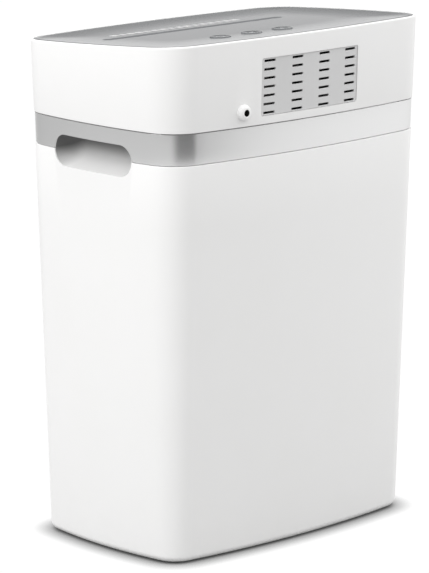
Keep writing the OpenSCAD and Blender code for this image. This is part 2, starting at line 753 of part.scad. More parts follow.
// Comb of fingers that clears the gaps between the discs of one shaft, on its outer side.
module comb(y, side, shift) {
    bar_near = disc_d / 2 + 2;
    bar_t = 7;
    finger_t = disc_pitch - disc_t - 0.8;
    color("#3c3c3c") difference() {
        union() {
            box([left_plate_x + plate_t + 0.2, min(y + side * bar_near, y + side * (bar_near + bar_t)), cutter_z - comb_down],
                [right_plate_x - 0.2, max(y + side * bar_near, y + side * (bar_near + bar_t)), cutter_z + comb_up]);
            for (i = [0:disc_count - 2])
                translate([disc_x(i, shift) + disc_pitch / 2, y + side * (bar_near + 1) / 2, cutter_z - 1])
                    cube([finger_t, bar_near + 1, 18], center = true);
        }
        rod_x(left_plate_x, plate_gap + 6, hub_d + 1, y, cutter_z);
        rod_x(left_plate_x, plate_gap + 6, hub_d + 1, y - side * 6, cutter_z);
    }
}

module front_comb() { comb(front_y, 1, -1); }
module rear_comb() { comb(rear_shaft_y, -1, 1); }

// ---------- Cutters ----------

disc_count = floor((plate_gap - shaft_spare) / disc_pitch);

function disc_x(i, shift) = slot_x + (i - (disc_count - 1) / 2) * disc_pitch + shift * disc_pitch / 4;

hooks = 6;

// One cutter profile: each hook rises slowly to a sharp edge and then drops.
module disc_profile() {
    r = disc_d / 2;
    depth = 1.6;
    steps = 5;
    polygon([for (h = [0:hooks - 1], i = [0:steps])
        let (a = 360 / hooks * (h + i / steps * 0.94), d = i == 0 ? depth : depth * (1 - i / steps) * 0.9)
        (r - d) * [cos(a), sin(a)]]);
}

module cutter_discs(y, shift, turn) {
    for (i = [0:disc_count - 1]) difference() {
        union() {
            translate([disc_x(i, shift) - disc_t / 2, y, cutter_z]) rotate([turn * (i * 12 + 5), 0, 0])
                rotate([90, 0, 90]) linear_extrude(height = disc_t) disc_profile();
            rod_x(disc_x(i, shift) - disc_pitch / 2 + 0.02, disc_pitch - 0.04, hub_d, y, cutter_z);
        }
        translate([slot_x - slot_len, y, cutter_z]) rotate([0, 90, 0])
            cylinder(d = (shaft_af + 0.1) / cos(30), h = 2 * slot_len, $fn = 6);
    }
}

module front_cutter_discs() { color("slategray") cutter_discs(front_y, -1, 1); }
module rear_cutter_discs() { color("slategray") cutter_discs(rear_shaft_y, 1, -1); }

// Hexagonal shaft with round journals; its drive end has a flat for the gears.
module cutter_shaft(y, drive_end) {
    hex_from = left_plate_x + plate_t + 0.3;
    hex_to = right_plate_x - 0.3;
    left_end = left_plate_x - 7;
    difference() {
        union() {
            translate([hex_from, y, cutter_z]) rotate([0, 90, 0])
                cylinder(d = shaft_af / cos(30), h = hex_to - hex_from, $fn = 6);
            rod_x(left_end, drive_end - left_end, journal_d, y, cutter_z);
        }
        // clip groove at the plain end
        ring_x(left_plate_x - 3.4, 1.2, journal_d + 2, journal_d - 2, y, cutter_z);
        // flat at the drive end
        box([sync_x - 0.3, y - journal_d, cutter_z + journal_d / 2 - 1], [drive_end + 1, y + journal_d, cutter_z + journal_d]);
    }
}

module front_cutter_shaft() { color("gainsboro") cutter_shaft(front_y, front_shaft_end); }
module rear_cutter_shaft() { color("gainsboro") cutter_shaft(rear_shaft_y, rear_shaft_end); }

module shaft_clip(y) {
    color("darkgray") difference() {
        ring_x(left_plate_x - 3.3, 1, journal_d + 5, journal_d - 2 + 2 * slide_fit, y, cutter_z);
        box([left_plate_x - 5, y - 2.5, cutter_z], [left_plate_x, y + 2.5, cutter_z + 20]);
    }
}

module shaft_clips() { for (y = [front_y, rear_shaft_y]) shaft_clip(y); }

// ---------- Gears ----------

pressure_angle = 25;
backlash = 0.16;

function involute(a) = tan(a) * 180 / PI - a;

// Half the angle that a tooth spans at radius r.
function tooth_half(teeth, m, r) =
    let (pitch_r = teeth * m / 2, base_r = pitch_r * cos(pressure_angle))
    90 / teeth - backlash / 4 / pitch_r * 180 / PI + involute(pressure_angle)
        - (r > base_r ? involute(acos(base_r / r)) : 0);

// Gear outline with the middle of a tooth at angle phase.
function gear_points(teeth, m, phase) =
    let (pitch_r = teeth * m / 2, base_r = pitch_r * cos(pressure_angle),
         root_r = pitch_r - 1.1 * m, tip_r = pitch_r + 0.8 * m,
         start_r = max(base_r, root_r), steps = 3,
         flank = [for (i = [0:steps]) start_r + (tip_r - start_r) * i / steps],
         radii = root_r < base_r - 0.01 ? concat([root_r], flank) : flank)
    [for (t = [0:teeth - 1]) each concat(
        [for (r = radii) let (a = phase + 360 / teeth * t - tooth_half(teeth, m, r)) r * [cos(a), sin(a)]],
        [for (i = [len(radii) - 1:-1:0]) let (r = radii[i], a = phase + 360 / teeth * t + tooth_half(teeth, m, r))
            r * [cos(a), sin(a)]])];

module gear(axis, x0, width, teeth, m, phase) {
    translate([0, axis.x, axis.y]) plate_x(x0, width) polygon(gear_points(teeth, m, phase));
}

function direction(from, to) = atan2(to.y - from.y, to.x - from.x);
function space_phase(teeth, angle) = angle + 180 / teeth;

sync_x = right_plate_x + plate_t + 2;
sync_w = 9;
drive_x = sync_x + sync_w + 1;
drive_w = 8;
middle_x = drive_x + drive_w + 1;
middle_w = 6;
motor_stage_x = middle_x + middle_w + 1;
motor_stage_w = 5;
front_shaft_end = sync_x + sync_w - 0.4;
rear_shaft_end = drive_x + drive_w + 0.4;

// Bore with a flat that keys a gear to its shaft.
module keyed_bore(axis, x0, width) {
    difference() {
        rod_x(x0 - 1, width + 2, journal_d + 2 * slide_fit, axis.x, axis.y);
        box([x0 - 2, axis.x - journal_d, axis.y + journal_d / 2 - 1 + slide_fit], [x0 + width + 2, axis.x + journal_d, axis.y + journal_d]);
    }
}

module timing_gear(axis, other, gap_first) {
    phase = direction(axis, other);
    difference() {
        gear(axis, sync_x, sync_w, sync_teeth, sync_module, gap_first ? space_phase(sync_teeth, phase) : phase);
        keyed_bore(axis, sync_x, sync_w);
    }
}

module front_timing_gear() { color("darkgray") timing_gear(front_axis, rear_axis, false); }
module rear_timing_gear() { color("darkgray") timing_gear(rear_axis, front_axis, true); }

module drive_gear() {
    color("lightgray") difference() {
        union() {
            gear(rear_axis, drive_x, drive_w, drive_teeth, drive_module, direction(rear_axis, second_axis));
            rod_x(drive_x - 0.8, drive_w + 0.8, 18, rear_axis.x, rear_axis.y);
        }
        keyed_bore(rear_axis, drive_x - 1, drive_w + 1);
        // shallow web on the outer face
        ring_x(drive_x + drive_w - 2, 3, drive_module * drive_teeth - 10, 20, rear_axis.x, rear_axis.y);
    }
}

module compound_gear(axis, small_x, small_w, small_teeth, small_m, small_phase, big_x, big_w, big_teeth, big_m, big_phase) {
    difference() {
        union() {
            gear(axis, small_x, small_w, small_teeth, small_m, small_phase);
            gear(axis, big_x, big_w, big_teeth, big_m, big_phase);
        }
        rod_x(small_x - 1, big_x + big_w - small_x + 2, stud_d + 2 * slide_fit, axis.x, axis.y);
        ring_x(big_x + big_w - 1.5, 2, big_m * big_teeth - 8, stud_d + 6, axis.x, axis.y);
    }
}

module second_gear() {
    color("ivory") compound_gear(second_axis,
        drive_x, drive_w + 1, second_pinion_teeth, drive_module, space_phase(second_pinion_teeth, direction(second_axis, rear_axis)),
        middle_x, middle_w, second_gear_teeth, middle_module, direction(second_axis, first_axis));
}

module first_gear() {
    color("ivory") compound_gear(first_axis,
        middle_x, middle_w + 1, first_pinion_teeth, middle_module, space_phase(first_pinion_teeth, direction(first_axis, second_axis)),
        motor_stage_x, motor_stage_w, first_gear_teeth, motor_module, direction(first_axis, motor_axis));
}

module motor_pinion() {
    color("goldenrod") difference() {
        gear(motor_axis, motor_stage_x, motor_stage_w, motor_pinion_teeth, motor_module,
            space_phase(motor_pinion_teeth, direction(motor_axis, first_axis)));
        rod_x(motor_stage_x - 1, motor_stage_w + 2, motor_shaft_d + 2 * press_gap, motor_axis.x, motor_axis.y);
    }
}

second_stud_end = middle_x + middle_w + 0.8;
first_stud_end = motor_stage_x + motor_stage_w + 1.4;

// Studs riveted to the right plate, with shoulders that carry the gears at their height.
module gear_studs() {
    color("silver") {
        rod_x(right_plate_x, second_stud_end - right_plate_x, stud_d, second_axis.x, second_axis.y);
        rod_x(right_plate_x, first_stud_end - right_plate_x, stud_d, first_axis.x, first_axis.y);
        ring_x(right_plate_x + plate_t + 0.02, drive_x - right_plate_x - plate_t - 0.2, stud_d + 4, stud_d + 2 * press_gap,
            second_axis.x, second_axis.y);
        ring_x(right_plate_x + plate_t + 0.02, middle_x - right_plate_x - plate_t - 0.2, stud_d + 2, stud_d + 2 * press_gap,
            first_axis.x, first_axis.y);
    }
}

module stud_clips() {
    color("darkgray") {
        ring_x(middle_x + middle_w + 0.15, 0.6, stud_d + 4, stud_d + 2 * press_gap, second_axis.x, second_axis.y);
        ring_x(motor_stage_x + motor_stage_w + 0.15, 0.8, stud_d + 4, stud_d + 2 * press_gap, first_axis.x, first_axis.y);
    }
}

// Cover over the gear train, open towards the right side plate.
module gear_cover_form(grow, x_to) {
    from = right_plate_x + plate_t + 0.1;
    plate_x(from, x_to - from) hull() {
        translate(front_axis) circle(r = sync_module * (sync_teeth + 2) / 2 + 0.6 + grow, $fn = 48);
        translate(rear_axis) circle(r = drive_module * (drive_teeth + 2) / 2 + 0.6 + grow, $fn = 64);
        translate(second_axis) circle(r = middle_module * (second_gear_teeth + 2) / 2 + 0.6 + grow, $fn = 64);
        translate(first_axis) circle(r = motor_module * (first_gear_teeth + 2) / 2 + 0.4 + grow, $fn = 64);
        translate(motor_axis) circle(r = 12 + grow, $fn = 48);
    }
}

gear_cover_wall = 1.5;
gear_cover_x = motor_stage_x + motor_stage_w + 3;

module gear_cover() {
    color("#4a4a4c") difference() {
        gear_cover_form(gear_cover_wall, gear_cover_x);
        translate([-0.5, 0, 0]) gear_cover_form(0, gear_cover_x - gear_cover_wall + 0.5);
    }
}

// ---------- Motor ----------

motor_boss_d = 14;
motor_screw_r = 11;
can_wall = 2;
can_front = right_plate_x - 0.05;
can_back = can_front - motor_l;

module motor_can() {
    color("dimgray") difference() {
        union() {
            rod_x(can_back, motor_l, motor_d, motor_axis.x, motor_axis.y);
            rod_x(can_front - 1, plate_t + 1, motor_boss_d, motor_axis.x, motor_axis.y);
        }
        rod_x(can_back - 1, motor_l - 3, motor_d - 2 * can_wall, motor_axis.x, motor_axis.y);
        rod_x(can_front - 10, 20, motor_shaft_d + 2 * slide_fit, motor_axis.x, motor_axis.y);
        for (s = [-1, 1]) rod_x(can_front - 10, 12, 3.3, motor_axis.x, motor_axis.y + s * motor_screw_r);
    }
}

module motor_end_cap() {
    color("black") difference() {
        union() {
            rod_x(can_back - 3, 3 - 0.05, motor_d, motor_axis.x, motor_axis.y);
            rod_x(can_back - 3, 7, motor_d - 2 * can_wall - 0.4, motor_axis.x, motor_axis.y);
            rod_x(can_back - 6, 4, 16, motor_axis.x, motor_axis.y);
        }
        rod_x(can_back - 8, 20, motor_shaft_d + 2 * slide_fit, motor_axis.x, motor_axis.y);
        for (a = [45:90:315]) rod_x(can_back - 4, 20, 7, motor_axis.x + 17 * cos(a), motor_axis.y + 17 * sin(a));
    }
}

magnet_t = 6;
armature_d = motor_d - 2 * can_wall - 2 * magnet_t - 3;
armature_x = can_back + 26;

module motor_magnets() {
    outer_d = motor_d - 2 * can_wall - 0.2;
    color("#2b2b2b") difference() {
        ring_x(can_back + 20, motor_l - 28, outer_d, outer_d - 2 * magnet_t, motor_axis.x, motor_axis.y);
        translate([can_back, motor_axis.x - 9, motor_axis.y - motor_d]) cube([motor_l, 18, 2 * motor_d]);
    }
}

module motor_screws() {
    color("silver") for (s = [-1, 1])
        screw_x(right_plate_x + plate_t + 0.02, motor_axis + [0, s * motor_screw_r], 1, 6, 7, 3.2);
}

shaft_back = can_back - 24;

module motor_shaft() {
    color("gainsboro") rod_x(shaft_back, motor_stage_x + motor_stage_w + 1 - shaft_back, motor_shaft_d, motor_axis.x, motor_axis.y);
}

// Slotted stack of steel sheets.
module armature() {
    color("#8c7a6b") difference() {
        rod_x(armature_x, 36, armature_d, motor_axis.x, motor_axis.y);
        rod_x(armature_x - 1, 38, motor_shaft_d + 2 * press_gap, motor_axis.x, motor_axis.y);
        for (a = [0:30:330]) translate([armature_x - 1, motor_axis.x, motor_axis.y]) rotate([a, 0, 0])
            translate([0, armature_d / 2 - 7, -1.2]) cube([38, 8, 2.4]);
    }
}

module commutator() {
    color("chocolate") difference() {
        ring_x(armature_x - 15, 12, 16, motor_shaft_d + 2 * press_gap, motor_axis.x, motor_axis.y);
        for (a = [0:30:330]) translate([armature_x - 16, motor_axis.x, motor_axis.y]) rotate([a, 0, 0])
            translate([0, 7, -0.4]) cube([11, 3, 0.8]);
    }
}

module cooling_fan() {
    fan_x = can_back - 21;
    fan_w = 12;
    color("whitesmoke") difference() {
        union() {
            rod_x(fan_x, fan_w, 14, motor_axis.x, motor_axis.y);
            for (a = [0:360 / 7:359]) translate([fan_x + fan_w / 2, motor_axis.x, motor_axis.y]) rotate([a, 0, 0])
                translate([0, fan_d / 4, 0]) rotate([0, 32, 0]) cube([fan_w - 1, fan_d / 2, 1.4], center = true);
        }
        rod_x(fan_x - 5, fan_w + 10, motor_shaft_d + 2 * press_gap, motor_axis.x, motor_axis.y);
    }
}

// ---------- Electronics ----------

board_low = tray_top + 6;
part_h = 15;                    // height of the tallest part on the control board
// the board and its parts stand midway between the gear cover and the tray's wall
board_x = (gear_cover_x + side_x(board_low) - tray_wall_inset - tray_wall_t - part_h) / 2;
board_y = 0;
board_len = 2 * cup_half + 9;
board_t = 1.6;
board_h = 50;

module control_board() {
    color("darkgreen") box([board_x - board_t / 2, board_y - board_len / 2, board_low],
        [board_x + board_t / 2, board_y + board_len / 2, board_low + board_h]);
}

board_face = board_x + board_t / 2;

module relays() {
    color("royalblue") for (y = [-36, -16])
        box([board_face, board_y + y, board_low + 28], [board_face + part_h - 1, board_y + y + 16, board_low + 47]);
}

module capacitors() {
    color("navy") for (y = [8, 24])
        rod_x(board_face, part_h, 11, board_y + y, board_low + 38);
}

module transformer() {
    color("gold") difference() {
        box([board_face, board_y - 34, board_low + 2], [board_face + part_h, board_y - 6, board_low + 25]);
        for (s = [-1, 1])
            box([board_face + 2, board_y - 20 + s * 8 - 2, board_low + 1], [board_face + part_h + 1, board_y - 20 + s * 8 + 2, board_low + 7]);
    }
}

module terminal_block() {
    color("green") difference() {
        box([board_face, board_y + 4, board_low + 4], [board_face + 11, board_y + 34, board_low + 16]);
        for (i = [0:3]) rod_x(board_face + 6, 6, 4, board_y + 8.5 + 7 * i, board_low + 10);
    }
}

// ---------- Safety switch ----------

plunger_d = 3.6;

module safety_switch() {
    switch_y = key_y + key_t / 2;
    color("#26282b") difference() {
        box([key_x - 10, switch_y - 3.5, tray_top], [key_x + 10, switch_y + 5.5, tray_top + 16]);
        translate([key_x, switch_y, tray_top - 1]) cylinder(d = plunger_d + 2 * fit, h = 9, $fn = 32);
    }
}

module switch_plunger() {
    color("red") translate([key_x, key_y + key_t / 2, key_top + 0.1]) cylinder(d = plunger_d, h = tray_top + 6 - key_top, $fn = 32);
}

// ---------- Nodes ----------

bin();
rubber_feet();
interlock_key();
head_cover();
trim_band();
control_panel();
base_tray();
grip_cup_left();
grip_cup_right();
vent_grille();
cable_gland();
gland_nut();
case_screws();
power_button();
reverse_button();
forward_button();
button_board();
tact_switches();
feed_throat();
sensor_bracket();
paper_sensor_lever();
left_side_plate();
right_side_plate();
tie_rods();
frame_screws();
shaft_bushes();
front_comb();
rear_comb();
front_cutter_shaft();
front_cutter_discs();
front_timing_gear();
rear_cutter_shaft();
rear_cutter_discs();
rear_timing_gear();
drive_gear();
shaft_clips();
second_gear();
first_gear();
gear_studs();
stud_clips();
gear_cover();
motor_can();
motor_end_cap();
motor_magnets();
motor_screws();
motor_shaft();
motor_pinion();
armature();
commutator();
cooling_fan();
control_board();
relays();
capacitors();
transformer();
terminal_block();
safety_switch();
switch_plunger();
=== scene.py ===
# %% [markdown]
# # Dressing a paper shredder in Blender
# The object is a paper shredder seen from behind: a tall white waste bin under a lift-off cutting
# head, with a silver band between them, two hand recesses in the short sides, a vent and a cord
# gland in the rear wall, and a sloping grey panel with the paper slot and three buttons on top.
# Its mechanism is already there as a frame of real solids. This lesson loads that frame, models
# the outer shells again with smooth surfaces, and gives every piece its finish.

# %% Load the frame
import json
import math

import bmesh
import bpy
from mathutils import Matrix, Vector


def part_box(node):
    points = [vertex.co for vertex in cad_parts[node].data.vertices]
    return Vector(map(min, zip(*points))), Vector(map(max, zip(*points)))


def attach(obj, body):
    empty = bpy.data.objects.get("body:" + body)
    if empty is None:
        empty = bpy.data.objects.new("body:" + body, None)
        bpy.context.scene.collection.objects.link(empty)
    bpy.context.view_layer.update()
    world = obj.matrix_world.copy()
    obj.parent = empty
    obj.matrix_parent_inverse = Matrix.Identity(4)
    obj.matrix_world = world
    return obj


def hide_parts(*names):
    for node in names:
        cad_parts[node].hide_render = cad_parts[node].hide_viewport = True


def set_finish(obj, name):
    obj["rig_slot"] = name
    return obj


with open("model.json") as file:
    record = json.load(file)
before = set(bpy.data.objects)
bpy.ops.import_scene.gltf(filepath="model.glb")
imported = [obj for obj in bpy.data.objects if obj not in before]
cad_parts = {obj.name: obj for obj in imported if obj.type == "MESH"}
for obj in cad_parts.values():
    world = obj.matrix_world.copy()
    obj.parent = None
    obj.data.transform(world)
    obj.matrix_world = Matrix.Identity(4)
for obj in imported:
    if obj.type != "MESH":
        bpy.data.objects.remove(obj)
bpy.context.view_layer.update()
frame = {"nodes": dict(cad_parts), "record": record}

# %% [markdown]
# ## The sizes that everything shares
# X runs along the long side, +Y is the front, -Y the rear and +Z is up. The overall size comes
# from the cover's own box. The walls lean in towards the floor by a small draft, so that the bin
# can leave its mould, and the top falls gently towards the front. Each wall bows out a little,
# and an arc at each corner blends one bow into the next.

# %% Sizes of the body
MM = 0.001
cover_low, cover_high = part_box("head_cover")
band_low, band_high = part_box("trim_band")
BODY_W = cover_high.x - cover_low.x
BODY_D = cover_high.y - cover_low.y
DRAFT = math.radians(1.6)
SLOPE = math.radians(3.4)
LIP_ROUND = 1.3 * MM
BODY_H = cover_high.z + LIP_ROUND * math.tan(SLOPE)
CORNER = 39 * MM
BOW_LONG = 13.3 * MM
BOW_SHORT = 11 * MM
SEAM = 0.5 * MM
COVER_BOTTOM = band_high.z + SEAM
BIN_TOP = band_low.z - SEAM
RIM_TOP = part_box("bin")[1].z
print("body", round(BODY_W, 4), round(BODY_D, 4), round(BODY_H, 4), "bin top", round(BIN_TOP, 4))

# %% [markdown]
# ## One outline of the body
# Four bows and four corner arcs could be worked out point by point. Blender can draw them: a
# single vertex in the middle of the short side is spun about the short side's centre, then about
# the corner's centre, then about the long side's centre. That is a quarter of the outline, and
# two mirrors close it. The corner's centre is where an arc of the corner's radius touches both
# bows from inside.

# %% Draw an outline with spins and mirrors
SHORT_STEPS, CORNER_STEPS, LONG_STEPS = 8, 14, 14
LEAST_CORNER = 16 * MM
Z_AXIS = Vector((0, 0, 1))
WELD = 1e-6


def bow_radius(half, bow):
    """Radius of a side of this half length that bows out by bow in its middle."""
    return (half * half + bow * bow) / (2 * bow)


def corner_centre(half_w, half_d, corner):
    """Centre of the corner arc, with the centres of the long and the short side."""
    long_r, short_r = bow_radius(half_w, BOW_LONG), bow_radius(half_d, BOW_SHORT)
    long_c, short_c = Vector((0, half_d - long_r, 0)), Vector((half_w - short_r, 0, 0))
    gap = short_c - long_c
    reach_long, reach_short = long_r - corner, short_r - corner
    along = (reach_long ** 2 - reach_short ** 2 + gap.length_squared) / (2 * gap.length)
    off = math.sqrt(reach_long ** 2 - along ** 2)
    unit = gap.normalized()
    return long_c + along * unit + off * Vector((unit.y, -unit.x, 0)), long_c, short_c


def spin(bm, geom, centre, angle, steps, merge=False):
    """Turns points or edges about an upright axis and gives back where they end."""
    return bmesh.ops.spin(bm, geom=geom, cent=centre, axis=Z_AXIS, dvec=(0, 0, 0), angle=angle,
                          space=Matrix.Identity(4), steps=steps, use_merge=merge,
                          use_normal_flip=False, use_duplicate=False)["geom_last"]


def spin_on(bm, vertex, centre, angle, steps):
    """Draws an arc from a vertex and gives back the arc's last vertex."""
    last = spin(bm, [vertex], centre, angle, steps)
    return next(g for g in last if isinstance(g, bmesh.types.BMVert))


def outline(bm, inset, height):
    """One closed outline, inset from the widest one; height(y) lifts each of its points."""
    half_w, half_d = BODY_W / 2 - inset, BODY_D / 2 - inset
    corner = max(CORNER - inset, LEAST_CORNER)
    centre, long_c, short_c = corner_centre(half_w, half_d, corner)
    turn_1 = math.atan2(centre.y, centre.x - short_c.x)
    turn_2 = math.atan2(centre.y - long_c.y, centre.x)
    old_edges = set(bm.edges)
    old_verts = set(bm.verts)
    tip = bm.verts.new((half_w, 0, 0))
    tip = spin_on(bm, tip, short_c, turn_1, SHORT_STEPS)
    tip = spin_on(bm, tip, centre, turn_2 - turn_1, CORNER_STEPS)
    tip = spin_on(bm, tip, long_c, math.pi / 2 - turn_2, LONG_STEPS)
    for axis in "XY":
        quarter = [g for g in (*bm.verts, *bm.edges) if g not in old_verts and g not in old_edges]
        bmesh.ops.mirror(bm, geom=quarter, matrix=Matrix.Identity(4), merge_dist=WELD, axis=axis)
    for vertex in bm.verts:
        if vertex not in old_verts:
            vertex.co.z = height(vertex.co.y)
    return [edge for edge in bm.edges if edge not in old_edges]


def draft_inset(z):
    """How far the draft brings the wall in at a height."""
    return math.tan(DRAFT) * (BODY_H - z)


def top_z(y):
    """Height of the sloping top."""
    return BODY_H - math.tan(SLOPE) * (y + BODY_D / 2)


def level(inset, z):
    """A flat outline at z, inset from the leaning wall."""
    return inset + draft_inset(z), lambda y: z


def sloped(inset, drop):
    """An outline that lies a drop below the sloping top."""
    return inset, lambda y: top_z(y) - drop


test = bmesh.new()
outline(test, 0, lambda y: 0)
print("one outline has", len(test.verts), "points and", len(test.edges), "edges; it reaches",
      round(max(v.co.x for v in test.verts), 4), round(max(v.co.y for v in test.verts), 4))
test.free()

# %% [markdown]
# ## From outlines to shells
# A moulded shell is a stack of outlines joined one to the next: up its outside, over its edge
# and down its inside. Bridging the loops keeps the whole shell one closed skin, so its normals
# can be recalculated safely. A small rounding is a few outlines that follow a quarter circle.

# %% Stack, finish and cut helpers
SHARP = math.radians(32)
FINE_ROUND, MEDIUM_ROUND, COARSE_ROUND, STADIUM_ROUND = 64, 48, 32, 40


def join_loops(bm, loops, axis, closed=False):
    """Bridges each loop to the next, pulled apart along an axis meanwhile, so that none twists."""
    storeys = [(list({v for e in loop for v in e.verts}), axis * k) for k, loop in enumerate(loops)]
    for verts, lift in storeys:
        bmesh.ops.translate(bm, verts=verts, vec=lift)
    for low, high in zip(loops, loops[1:]):
        bmesh.ops.bridge_loops(bm, edges=low + high)
    ends = [bmesh.ops.contextual_create(bm, geom=loop)["faces"][0] for loop in (loops[0], loops[-1])]
    bmesh.ops.recalc_face_normals(bm, faces=bm.faces)
    if closed:
        bmesh.ops.delete(bm, geom=ends, context="FACES_ONLY")
        last = bmesh.ops.bridge_loops(bm, edges=loops[-1] + loops[0])["faces"]
        if not loops[0][0].is_contiguous:
            bmesh.ops.reverse_faces(bm, faces=last)
    for verts, lift in storeys:
        bmesh.ops.translate(bm, verts=verts, vec=-lift)


def stack(bm, rings, closed=False):
    """Joins each outline to the next; a closed stack returns to its first outline."""
    join_loops(bm, [outline(bm, *ring) for ring in rings], Z_AXIS, closed)


def rounded(kind, inset_from, z_from, inset_to, z_to, flat_first, steps=4):
    """Level or sloped outlines that follow a quarter of an ellipse from one place to another."""
    rings = []
    for i in range(steps + 1):
        turn = math.pi / 2 * i / steps
        fast, slow = math.sin(turn), 1 - math.cos(turn)
        across, up = (fast, slow) if flat_first else (slow, fast)
        rings.append(kind(inset_from + (inset_to - inset_from) * across, z_from + (z_to - z_from) * up))
    return rings


def shade_faces(bm):
    """Smooth faces, with a crease wherever the surface turns by more than SHARP."""
    for face in bm.faces:
        face.smooth = True
    for edge in bm.edges:
        edge.smooth = len(edge.link_faces) == 2 and edge.calc_face_angle(0) < SHARP


def mesh_object(name, bm, shell=False):
    """Turns a bmesh into an object; a shell's normals were set while it was a tower."""
    bmesh.ops.remove_doubles(bm, verts=bm.verts, dist=WELD)
    if not shell:
        bmesh.ops.recalc_face_normals(bm, faces=bm.faces)
    shade_faces(bm)
    mesh = bpy.data.meshes.new(name)
    bm.to_mesh(mesh)
    bm.free()
    made = bpy.data.objects.new(name, mesh)
    bpy.context.scene.collection.objects.link(made)
    return made


def apply_modifiers(obj):
    """Keeps what the modifiers make as the object's own mesh."""
    shown = obj.evaluated_get(bpy.context.evaluated_depsgraph_get())
    mesh = bpy.data.meshes.new_from_object(shown)
    obj.modifiers.clear()
    obj.data = mesh


def cut(obj, cutter_bm, operation="DIFFERENCE"):
    """Cuts a shape out of an object, or keeps only what lies inside it."""
    tool = mesh_object("cutter", cutter_bm)
    boolean = obj.modifiers.new("cut", "BOOLEAN")
    boolean.operation = operation
    boolean.solver = "EXACT"
    boolean.object = tool
    apply_modifiers(obj)
    bpy.data.objects.remove(tool)


def soften(obj, width):
    """Rounds the edges that a mould or a cutter would leave."""
    bevel = obj.modifiers.new("soft edges", "BEVEL")
    bevel.width = width
    bevel.segments = 2
    bevel.limit_method = "ANGLE"
    bevel.angle_limit = SHARP
    bevel.harden_normals = True
    bevel.use_clamp_overlap = True


def shade_again(obj):
    """Finds the creases again after a cut."""
    bm = bmesh.new()
    bm.from_mesh(obj.data)
    shade_faces(bm)
    bm.to_mesh(obj.data)
    bm.free()


def set_in_frame(obj, body, slot, *nodes, soft=0):
    """Sets what the piece rides on and which finish it has, and hides the nodes it takes the place of."""
    shade_again(obj)
    if soft:
        soften(obj, soft)
    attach(obj, body)
    if nodes:
        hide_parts(*nodes)
    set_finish(obj, slot)
    print(obj.name, "has", len(obj.data.polygons), "faces and rides on", body)
    return obj


# %% [markdown]
# ## Shapes that cut
# A hand recess, the paper slot and the vent window are flat outlines pushed through a wall. The
# slot's outline, a stadium, is a circle turned by half a segment whose two halves are moved
# apart, and a window is a square whose corners are bevelled. Extruding either gives a cutter.
# Round pegs and blocks, each set by a matrix, do the rest.

# %% Make cutters
FACE_X = Matrix(((0, 0, 1, 0), (1, 0, 0, 0), (0, 1, 0, 0), (0, 0, 0, 1)))
FACE_Y = Matrix(((1, 0, 0, 0), (0, 0, 1, 0), (0, 1, 0, 0), (0, 0, 0, 1)))


def stadium_loop(bm, length, height):
    """A slot outline in the XY plane, along X."""
    verts = bmesh.ops.create_circle(bm, cap_ends=False, segments=STADIUM_ROUND, radius=height / 2)["verts"]
    half_turn = Matrix.Rotation(math.pi / STADIUM_ROUND, 4, "Z")
    bmesh.ops.transform(bm, matrix=half_turn, verts=verts)
    for vertex in verts:
        vertex.co.x += math.copysign((length - height) / 2, vertex.co.x)
    return verts


def loop_edges(verts):
    """The edges between the vertices of a loop."""
    return list({edge for vertex in verts for edge in vertex.link_edges})


def round_patch(bm, width, height, radius, segments):
    """A flat rectangle with round corners in the XY plane."""
    verts = bmesh.ops.create_grid(bm, x_segments=1, y_segments=1, size=0.5)["verts"]
    bmesh.ops.scale(bm, verts=verts, vec=(width, height, 1))
    bmesh.ops.bevel(bm, geom=verts, offset=radius, offset_type="OFFSET", segments=segments, profile=0.5,
                    affect="VERTICES", clamp_overlap=True, material=-1)


def pull(bm, faces, shift):
    """Extrudes faces, moves the new ones and gives them back."""
    made = bmesh.ops.extrude_face_region(bm, geom=faces)["geom"]
    bmesh.ops.translate(bm, verts=[g for g in made if isinstance(g, bmesh.types.BMVert)], vec=shift)
    return [g for g in made if isinstance(g, bmesh.types.BMFace)]


def prism(bm, face, depth):
    """Pushes a flat face by depth to both sides."""
    bmesh.ops.translate(bm, verts=face.verts[:], vec=(0, 0, -depth))
    pull(bm, [face], (0, 0, 2 * depth))


def stadium_bar(bm, length, height, depth):
    """A bar whose section is a stadium, pushed by depth to both sides."""
    opening = loop_edges(stadium_loop(bm, length, height))
    prism(bm, bmesh.ops.contextual_create(bm, geom=opening)["faces"][0], depth)


def draw_at(bm, place, draw, *sizes):
    """Draws a shape with a function and moves it to its place."""
    done = set(bm.verts)
    draw(bm, *sizes)
    bmesh.ops.transform(bm, matrix=place, verts=[v for v in bm.verts if v not in done])


def block(bm, place, size):
    """A block of this size, set by a matrix."""
    verts = bmesh.ops.create_cube(bm, size=1)["verts"]
    bmesh.ops.transform(bm, matrix=place @ Matrix.Diagonal((*size, 1)), verts=verts)


def peg(bm, place, radius, length, segments=FINE_ROUND):
    """A round peg along Z, set by a matrix."""
    bmesh.ops.create_cone(bm, cap_ends=True, segments=segments, radius1=radius, radius2=radius,
                          depth=length, matrix=place)


def middle(corners):
    """The middle of a box, from its two corners."""
    return Vector([(a + b) / 2 for a, b in zip(*corners)])


def side_x(z):
    """Distance from the middle to the short side's wall."""
    return BODY_W / 2 - draft_inset(z)


def rear_y(x, z, inset=0.0):
    """Where the rear wall is, or a surface that lies this far inside it."""
    inset = inset + draft_inset(z)
    radius = bow_radius(BODY_W / 2 - inset, BOW_LONG)
    return -(BODY_D / 2 - inset) + radius - math.sqrt(radius * radius - x * x)


GRIP_LEN, GRIP_H = 105 * MM, 29.5 * MM
WALL_REACH = 12 * MM
SIDES = (-1, 1)
CORNERS = [(sx, sy) for sx in SIDES for sy in SIDES]


def grip_cutter():
    """Both hand openings as one cutter."""
    bm = bmesh.new()
    for side in SIDES:
        place = Matrix.Translation((side * side_x(BIN_TOP), 0, BIN_TOP)) @ FACE_X
        draw_at(bm, place, stadium_bar, GRIP_LEN, GRIP_H, WALL_REACH)
    return bm


